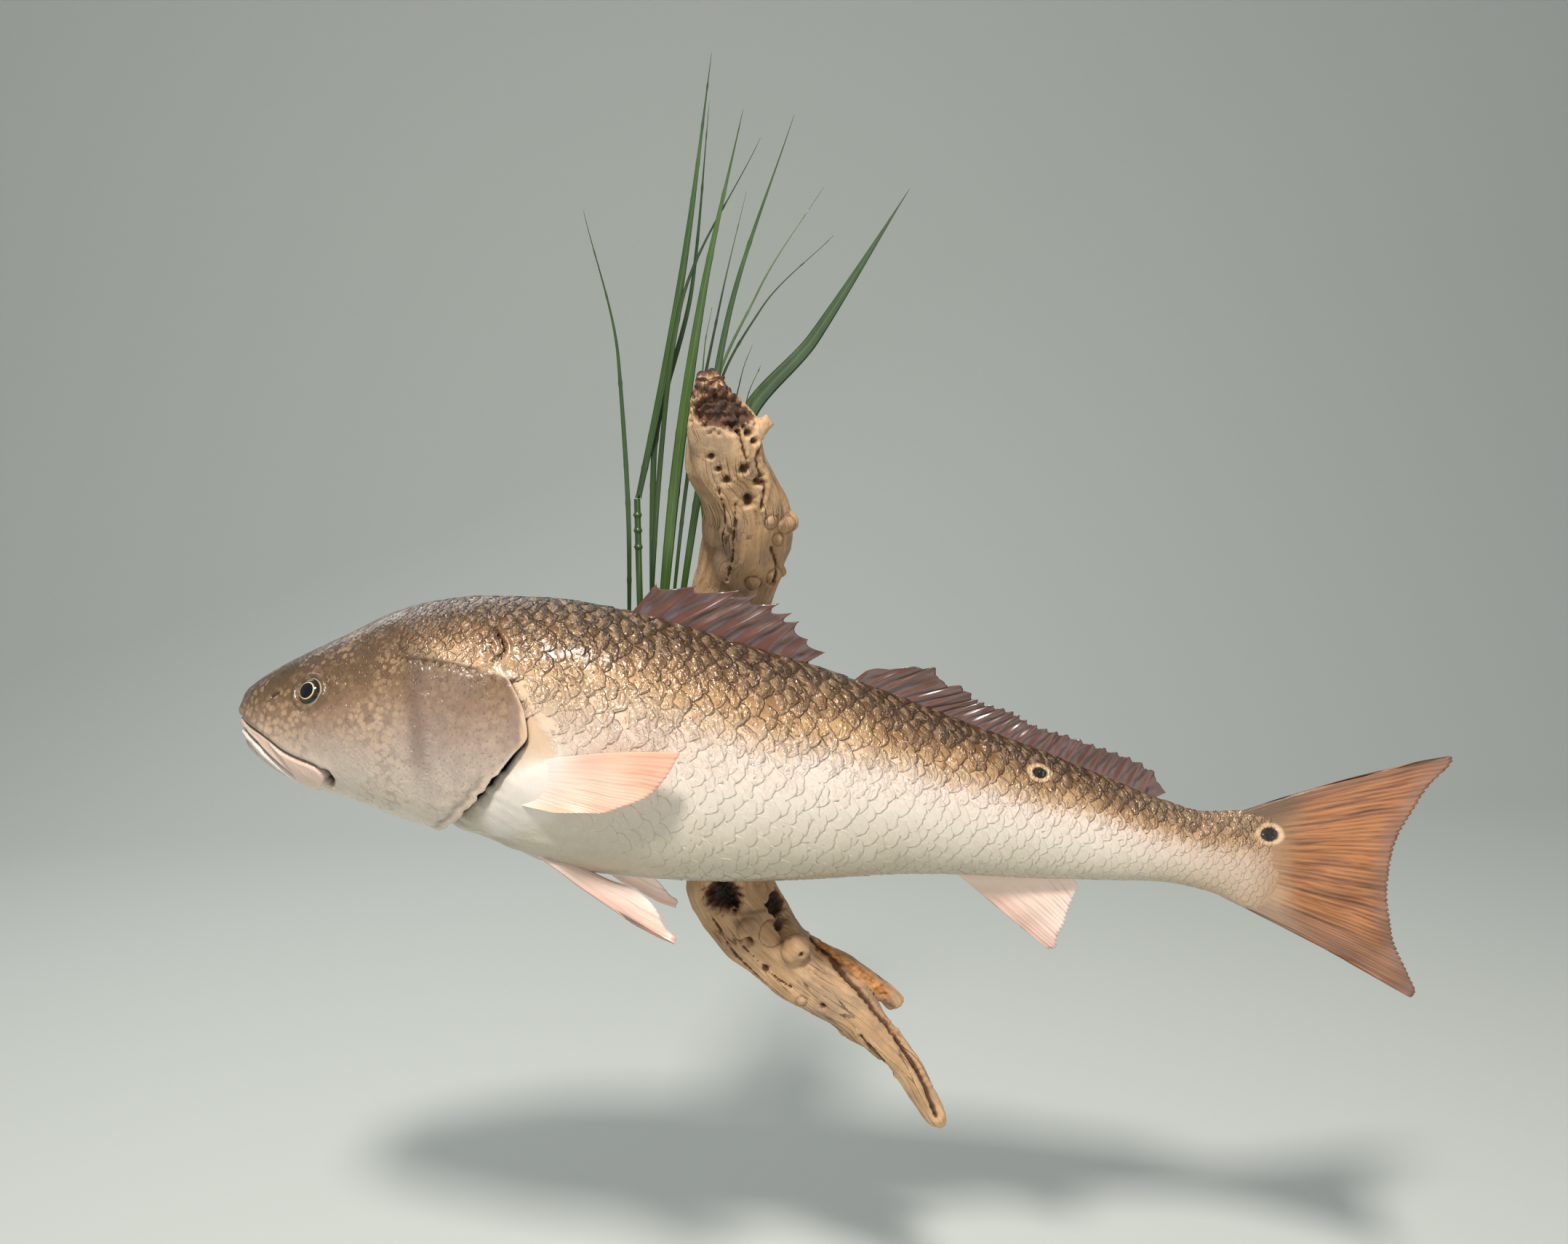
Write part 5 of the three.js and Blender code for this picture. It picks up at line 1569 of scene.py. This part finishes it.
def nearest_on(points, line):
    """How far along a line each point's nearest place is, that place, and the direction there."""
    line = resample(line, 260)
    along = np.r_[0, np.cumsum(np.linalg.norm(np.diff(line, axis=0), axis=1))]
    best = np.empty(len(points), int)
    for start in range(0, len(points), 4000):
        block = points[start:start + 4000]
        best[start:start + 4000] = ((block[:, None] - line[None]) ** 2).sum(axis=2).argmin(axis=1)
    return along[best], line[best], unit(np.gradient(line, axis=0))[best]


def facing(line, count):
    """A line seen from the front, as x, 0 and z."""
    return np.insert(resample(line, count), 1, 0, axis=1)


def carve_rot(relief, dark, x, z, front, rough):
    """The shelf, the rotten hollows and the broken top."""
    start, end, height = LEDGE
    shelf = smooth(start - 3, start + 3, x) * (1 - smooth(end - 3, end + 3, x)) * front
    relief += -3.5 * shelf * smooth(height - 1.5, height + 2.5, z) * (1 - smooth(-96, -84, z))
    for hollow_x, hollow_z, half_wide, half_high, depth, darkness in HOLLOWS:
        bowl = np.hypot((x - hollow_x) / half_wide, (z - hollow_z) / half_high)
        rot = (1 - smooth(0.75, 1.15, bowl + 0.1 * rough)) * front
        relief += rot * (rough - depth)
        # Painted shade darkens the hollows, and in the bowl the rot's own colour too.
        np.maximum(dark, rot * (darkness + 0.15 * rough), out=dark)
    top = smooth(290, 300, z)
    relief += top * (0.9 * rough - 1)
    np.maximum(dark, top * (0.5 + 0.3 * rough), out=dark)


def carve_holes(relief, dark, x, z, front, rough):
    """Worm holes with raised rims, and burrs with a furrow round them."""
    for hole_x, hole_z, radius, depth in WORM_HOLES:
        gap = np.hypot(x - hole_x, z - hole_z) * (1 + 0.12 * rough)
        relief += (-depth * bell(gap, radius) + 0.7 * bell(gap - 1.6 * radius, radius * 0.5)) * front
        # Painted shade darkens the worm holes.
        np.maximum(dark, bell(gap, radius * 0.85) * front, out=dark)
    for burr_x, burr_z, radius, depth in BURRS:
        gap = np.hypot(x - burr_x, z - burr_z)
        relief += (-depth * bell(gap, radius) - 1.0 * bell(gap - 1.5 * radius, 1.4)) * front
        # Painted shade in the furrows round the burrs.
        np.maximum(dark, 0.35 * bell(gap - 1.5 * radius, 1.2) * front, out=dark)


def carve_cracks(relief, dark, x, z, front, rough):
    """Cracks with raised lips, and the soft orange strip. Gives the strip's own mask."""
    seen = np.stack([x, 0 * x, z], axis=1)
    for line, width, depth in CRACKS:
        gap, _ = reach_to(seen, facing(line, 24))
        gap = np.maximum(gap + 0.3 * rough, 0)
        relief += (-depth * bell(gap, width) + 0.3 * depth * bell(gap - 2.4 * width, width)) * front
        # Painted shade darkens the cracks.
        np.maximum(dark, 0.75 * bell(gap, width * 0.8) * front, out=dark)
    gap, _ = reach_to(seen, facing(DECAY, 16))
    decay = bell(gap, 5.5) * front
    relief += decay * (-2.6 + 0.8 * rough)
    return decay


def wood_relief(points, normals, along, around):
    """The grain, cracks, holes and rot of the driftwood, and the masks that its paint needs."""
    x, z = points[:, 0], points[:, 2]
    front = smooth(-0.1, 0.35, normals[:, 1])
    grain_place = np.stack([around, along * 0.09, 0 * along], axis=1)
    relief = 0.7 * Ripple("limb flutes", 16)(grain_place)
    relief += 0.22 * Ripple("limb grain", 4.2, 20)(grain_place)
    relief += 0.8 * Ripple("limb lumps", 34)(points)
    ripples = np.sin(along / 1.5 + 1.2 * Ripple("cross ripple", 20)(points))
    relief += 0.16 * ripples * bell(z + 222, 26) * (x < 110)

    rough = Ripple("rot", 8, 24)(points) + 0.35 * Ripple("rot fine", 3.6, 24)(points)
    dark = np.zeros(len(points))
    carve_rot(relief, dark, x, z, front, rough)
    carve_holes(relief, dark, x, z, front, rough)
    decay = carve_cracks(relief, dark, x, z, front, rough)
    # The mask named dark: painted shade in the holes, cracks, furrows and gaps, the rot in the bowl, and
    # a darker broken top.
    return relief, {"dark": np.clip(dark, 0, 1), "orange": np.clip(decay, 0, 1)}


def wood_paint():
    paint = Paint("driftwood", Roughness=0.74)
    place = paint.grain(paint.carried("around") * 0.16, paint.carried("along") * 0.012)
    broad = paint.noise(16, 5, 0.6)
    tone = paint.noise(1.4, 6, at=place) * 0.5 + broad * 0.5
    color = paint.ramp(tone, [
        (0.32, srgb(150, 112, 80)), (0.45, srgb(184, 145, 106)), (0.56, srgb(202, 165, 124)),
        (0.7, srgb(216, 184, 146)),
    ])
    grey = paint.noise(24, 4, 0.6).above(0.46, 0.66) * 0.6
    color = paint.blend(grey, color, srgb(142, 120, 102))
    fine = paint.noise(7.0, 4, distortion=0.4, at=place)
    color = paint.blend((1 - fine.above(0.3, 0.5)) * 0.35, color, srgb(112, 80, 54))
    # The splits are dips in the bump and dark lines, painted shade in them.
    splits = 1 - paint.cells(1.1, "DISTANCE_TO_EDGE", at=place).above(0.01, 0.05)
    splits = splits * paint.noise(20, 4, 0.6).above(0.5, 0.6)
    color = paint.blend(splits * 0.75, color, srgb(70, 46, 30))
    rot = paint.ramp(paint.noise(150, 5, 0.7), [
        (0.35, srgb(96, 56, 24)), (0.5, srgb(176, 106, 42)), (0.66, srgb(222, 160, 88)),
    ])
    color = paint.blend(paint.carried("orange") * 0.9, color, rot)
    # Painted shade and the rot's dark, from the mask named dark, uneven at its edges.
    rot_and_shade = paint.carried("dark") + (paint.noise(110, 5, 0.7) - 0.5) * paint.carried("dark") * 1.4
    color = paint.blend(rot_and_shade.above(0.1, 0.5), color, srgb(96, 62, 38))
    color = paint.blend(rot_and_shade.above(0.45, 1.0), color, srgb(36, 23, 16))
    bump = paint.relief(fine * 0.6 - splits * 0.6 + paint.noise(380, 5, 0.65) * 0.3, 0.0014, 0.8)
    return paint.show(Base_Color=color, Normal=bump)


def driftwood():
    forms = [limb_rings(MAIN_LIMB, 4, 40), limb_rings(SIDE_LIMB, 5, 24), limb_rings(TWIG, 4, 16)]
    forms += [ball(*knot) for knot in KNOTS]
    points, faces, normals = fused("driftwood", [shell(form) for form in forms], VOXEL)
    along, middle, direction = nearest_on(points, [row[:3] for row in MAIN_LIMB])
    sideways = unit(np.cross(ACROSS_FISH, direction))
    through = np.cross(direction, sideways)
    off = points - middle
    turn = np.arctan2((off * sideways).sum(axis=1), (off * through).sum(axis=1))
    around = turn * np.minimum(np.linalg.norm(off, axis=1), 40)
    # Its masks carry the rot, the orange decay and painted shade.
    relief, rot_and_shade_masks = wood_relief(points, normals, along, around)
    points = points + normals * relief[:, None]
    points[:, 1] = np.maximum(points[:, 1], 0)
    wood = make_mesh("driftwood_limbs", points, faces, {**rot_and_shade_masks, "along": along, "around": around})
    add_piece(wood, wood_paint(), "driftwood", "driftwood")


# ------------------------------------------------------------------ grass

FRONT_BLADES = [  # root, low, high and tip as x, out, z, then the width
    [(-96, 52, 95.3), (-92, 90, 215), (-94, 133, 325), (-114, 177, 429), 4.2],
    [(-85, 56, 217), (-60, 84, 318), (-40, 105, 415), (-18, 130, 552), 7.2],
    [(-77, 46, 95.3), (-71, 64, 250), (-36, 86, 388), (-20, 110, 523), 5.4],
    [(-70, 55, 95.3), (-52, 82, 240), (-28, 105, 378), (5, 132, 511), 10.5],
    [(-79, 56, 95.3), (-66, 79, 240), (-46, 98, 368), (18, 128, 491), 4.6],
    [(-62, 53, 95.3), (-43, 72, 236), (-13, 66, 378), (10, 55, 467), 3.4],
    [(-56, 47, 95.3), (-38, 64, 202), (-8, 76, 361), (47, 92, 518), 7],
]
REAR_BLADES = [
    [(-24, 18, 130.3), (-33, 40, 250), (-27, 54, 340), (-20, 52, 374), 3],
    [(-17, 15, 130.3), (-29, 34, 250), (-13, 44, 335), (-1, 44, 380), 6],
    [(-10, 11, 130.3), (-20, 22, 290), (20, 14, 391), (79, 7, 481), 3.2],
    [(-3, 17, 130.3), (-18, 30, 290), (22, 40, 375), (82, 54, 432), 3],
    [(4, 21, 130.3), (-6, 26, 262), (5, 32, 322), (14, 36, 345), 2.8],
    [(11, 18, 130.3), (2, 22, 250), (9, 27, 300), (21, 34, 328), 2.6],
    [(18, 11, 130.3), (6, 18, 270), (68, 20, 352), (150, 30, 475), 17],
]
BASES = {"front": ((-103, -44), (41, 60), (86, 95)), "rear": ((-29, 25), (7, 24), (118, 130))}
# A leaf's outline all round: shares of its half width, and heights of the channel and its midrib.
LEAF_ACROSS = np.array([-1, -0.6, -0.12, 0, 0.12, 0.6, 1, 0.6, 0.12, 0, -0.12, -0.6])
LEAF_HEIGHT = np.array([0.35, 0.1, 0.0, 0.35, 0.0, 0.1, 0.35, -0.3, -0.5, -0.6, -0.5, -0.3])
WIDEST_JOINTED = 12  # wider leaves have no joints
STEM_PLACE, STEM_ENDS, STEM_RADIUS, STEM_JOINTS = (-86, 56), (95.3, 216.7), 2.7, (176, 190, 203)


def blade(name, node, row, material):
    """A strap leaf of moulded plastic: a shallow channel with a midrib and little joints."""
    *path, width = row
    draw = random_stream(name)
    middle = resample(path, 90)
    t = np.linspace(0, 1, len(middle))
    along = unit(np.gradient(middle, axis=0))
    sideways = unit(np.cross(ACROSS_FISH, along))
    face = unit(np.cross(sideways, along))
    face = face * np.sign(face[:, 1:2])
    half = width / 2 * (0.62 + 0.38 * np.sin(math.pi * t)) * (1 - t**2.2) + 0.12
    joint = 0.35 * bell((t * draw.uniform(9, 13) + draw.uniform(0, 1)) % 1 - 0.5, 0.03)
    joint = joint * (width < WIDEST_JOINTED)
    wave = 0.8 * np.sin(t * draw.uniform(5, 9) + draw.uniform(0, 6)) * t * (1 - t) * 2
    across = (half + joint)[:, None] * LEAF_ACROSS
    rise = LEAF_HEIGHT * min(1, 0.25 + width / 8) + (wave + joint)[:, None]
    rings = middle[:, None] + sideways[:, None] * across[..., None] + face[:, None] * rise[..., None]
    points, faces = shell(rings)
    length = np.broadcast_to(t[:, None], rings.shape[:2])
    edge = np.broadcast_to(np.abs(LEAF_ACROSS)[None, :], rings.shape[:2])
    values = {"length": with_hubs(length, *length.shape), "edge": with_hubs(edge, *edge.shape)}
    values["tint"] = np.full(len(points), draw.uniform(0, 1))
    add_piece(make_mesh(name, points, faces, values), material, "grass", node)


def grass_paint():
    paint = Paint("plastic grass", Coat_Weight=0.5, Coat_Roughness=0.18)
    length, edge, tint = (paint.carried(key) for key in ("length", "edge", "tint"))
    shade = paint.noise(60, 4, 0.6, (1, 1, 0.12)) * 0.6 + tint * 0.4
    color = paint.ramp(shade, [
        (0.25, srgb(26, 46, 18)), (0.5, srgb(44, 72, 28)), (0.75, srgb(70, 98, 40)),
    ])
    color = paint.blend((1 - edge.above(0.0, 0.14)) * 0.3, color, srgb(112, 134, 74))
    color = paint.blend(edge.above(0.85, 1.0) * 0.35, color, srgb(104, 86, 52))
    color = paint.blend(length.above(0.8, 1.0) * 0.5, color, srgb(44, 46, 34))
    return paint.show(Base_Color=color, Roughness=paint.noise(90) * 0.2 + 0.32)


def moulded(name, rings, tint, material, node):
    """A plain plastic piece over rings of points."""
    points, faces = shell(rings)
    zero = np.zeros(len(points))
    values = {"length": zero, "edge": zero + 0.5, "tint": zero + tint}
    add_piece(make_mesh(name, points, faces, values), material, "grass", node)


def grass_stem(material):
    z = np.linspace(STEM_ENDS[0], STEM_ENDS[1], 160)
    radius = STEM_RADIUS + sum(1.1 * bell(z - joint, 1.6) for joint in STEM_JOINTS)
    z, radius = np.r_[z[0], z, z[-1]][:, None], np.r_[0.3, radius, 0.3][:, None]
    turn = np.linspace(0, 2 * math.pi, 28, endpoint=False)
    x, out = STEM_PLACE[0] + radius * np.cos(turn), STEM_PLACE[1] + radius * np.sin(turn)
    moulded("grass_stalk", places(x, out, z), 0.7, material, "grass_stem")


def grass_base(word, sizes, material):
    """A moulded block with soft corners that the leaves' feet stand in."""
    middle = np.array([(low + high) / 2 for low, high in sizes])
    half = np.array([(high - low) / 2 for low, high in sizes])
    polar = np.linspace(0.02, math.pi - 0.02, 30)[:, None]
    turn = np.linspace(0, 2 * math.pi, 64, endpoint=False)[None, :]

    def squared(value):
        return np.sign(value) * np.abs(value) ** 0.3

    belt = squared(np.sin(polar))
    rings = places(squared(np.cos(turn)) * belt, squared(np.sin(turn)) * belt, squared(np.cos(polar)))
    moulded("grass_foot_" + word, middle + rings * half, 0.2, material, "grass_base_" + word)


driftwood()
plastic = grass_paint()
for word, rows in (("front", FRONT_BLADES), ("rear", REAR_BLADES)):
    for index, row in enumerate(rows, 1):
        blade(f"leaf_{word}_{index}", f"grass_blade_{word}_{index}", row, plastic)
    grass_base(word, BASES[word], plastic)
grass_stem(plastic)


# ------------------------------------------------------------------ stage, light and camera

FLOOR_Z, BACKDROP_Y, BEND = -0.62, 3.4, 1.6
FLOOR_START, BACKDROP_TOP, BACKDROP_HALF_WIDTH = -6.0, 7.0, 20.0
AIM = Vector((0.05, -0.08, 0.05))
LAMPS = {  # place, size, energy and colour
    "key": ((-0.25, -1.5, 1.85), 0.3, 68, (1.0, 0.97, 0.92)),
    "fill": ((0.9, -2.0, 0.1), 1.4, 8, (1.0, 0.97, 0.93)),
    "back": ((-1.0, 1.6, 1.6), 1.4, 16, (0.95, 0.98, 1.0)),
}
SKY_COLOR, SKY_STRENGTH = (0.86, 0.9, 0.93, 1), 0.4
# The camera stands a little above the fish and looks slightly down and to the right.
CAMERA_PLACE = (-0.038, -1.1222, 0.2437)
CAMERA_RIGHT, CAMERA_UP = Vector((0.9974, -0.0713, -0.0120)), Vector((0.0208, 0.1235, 0.9921))
CAMERA_FORWARD = Vector((0.0692, 0.9898, -0.1246))
CAMERA_LENS, CAMERA_SENSOR, CAMERA_REACH = 28.8, 36, 60


def backdrop():
    """A floor that curves up into a wall well behind the fish."""
    turn = np.linspace(0, math.pi / 2, 24)
    floor = [(FLOOR_START, FLOOR_Z), (BACKDROP_Y - BEND, FLOOR_Z)]
    curve = [(BACKDROP_Y - BEND * (1 - math.sin(a)), FLOOR_Z + BEND * (1 - math.cos(a))) for a in turn]
    profile = np.array(floor + curve[1:] + [(BACKDROP_Y, BACKDROP_TOP)]) / MM
    across = np.array([-BACKDROP_HALF_WIDTH, BACKDROP_HALF_WIDTH]) / MM
    points = places(across[None, :], -profile[:, None, 0], profile[:, None, 1]).reshape(-1, 3)
    sweep = make_mesh("backdrop", points, grid_faces(len(profile), 2)[:, ::-1])
    paint = Paint("backdrop", Base_Color=srgb(205, 209, 203), Roughness=0.9)
    sweep.data.materials.append(paint.material)


def lamp(name, place, size, energy, color):
    light = bpy.data.lights.new(name, "AREA")
    light.size, light.energy, light.color = size, energy, color
    thing = in_scene(name, light)
    thing.location = place
    thing.rotation_euler = (AIM - Vector(place)).to_track_quat("-Z", "Y").to_euler()


def set_camera():
    camera = bpy.data.cameras.new("camera")
    camera.lens, camera.sensor_width, camera.clip_end = CAMERA_LENS, CAMERA_SENSOR, CAMERA_REACH
    thing = in_scene("camera", camera)
    pose = Matrix((CAMERA_RIGHT, CAMERA_UP, -CAMERA_FORWARD)).transposed().to_4x4()
    pose.translation = Vector(CAMERA_PLACE)
    thing.matrix_world = pose
    bpy.context.scene.camera = thing


def daylight():
    world = bpy.data.worlds.new("sky")
    world.use_nodes = True
    sky = world.node_tree.nodes["Background"]
    sky.inputs["Color"].default_value = SKY_COLOR
    sky.inputs["Strength"].default_value = SKY_STRENGTH
    bpy.context.scene.world = world


backdrop()
daylight()
for name, facts in LAMPS.items():
    lamp(name, *facts)
set_camera()
bpy.context.scene.view_settings.view_transform = "Standard"
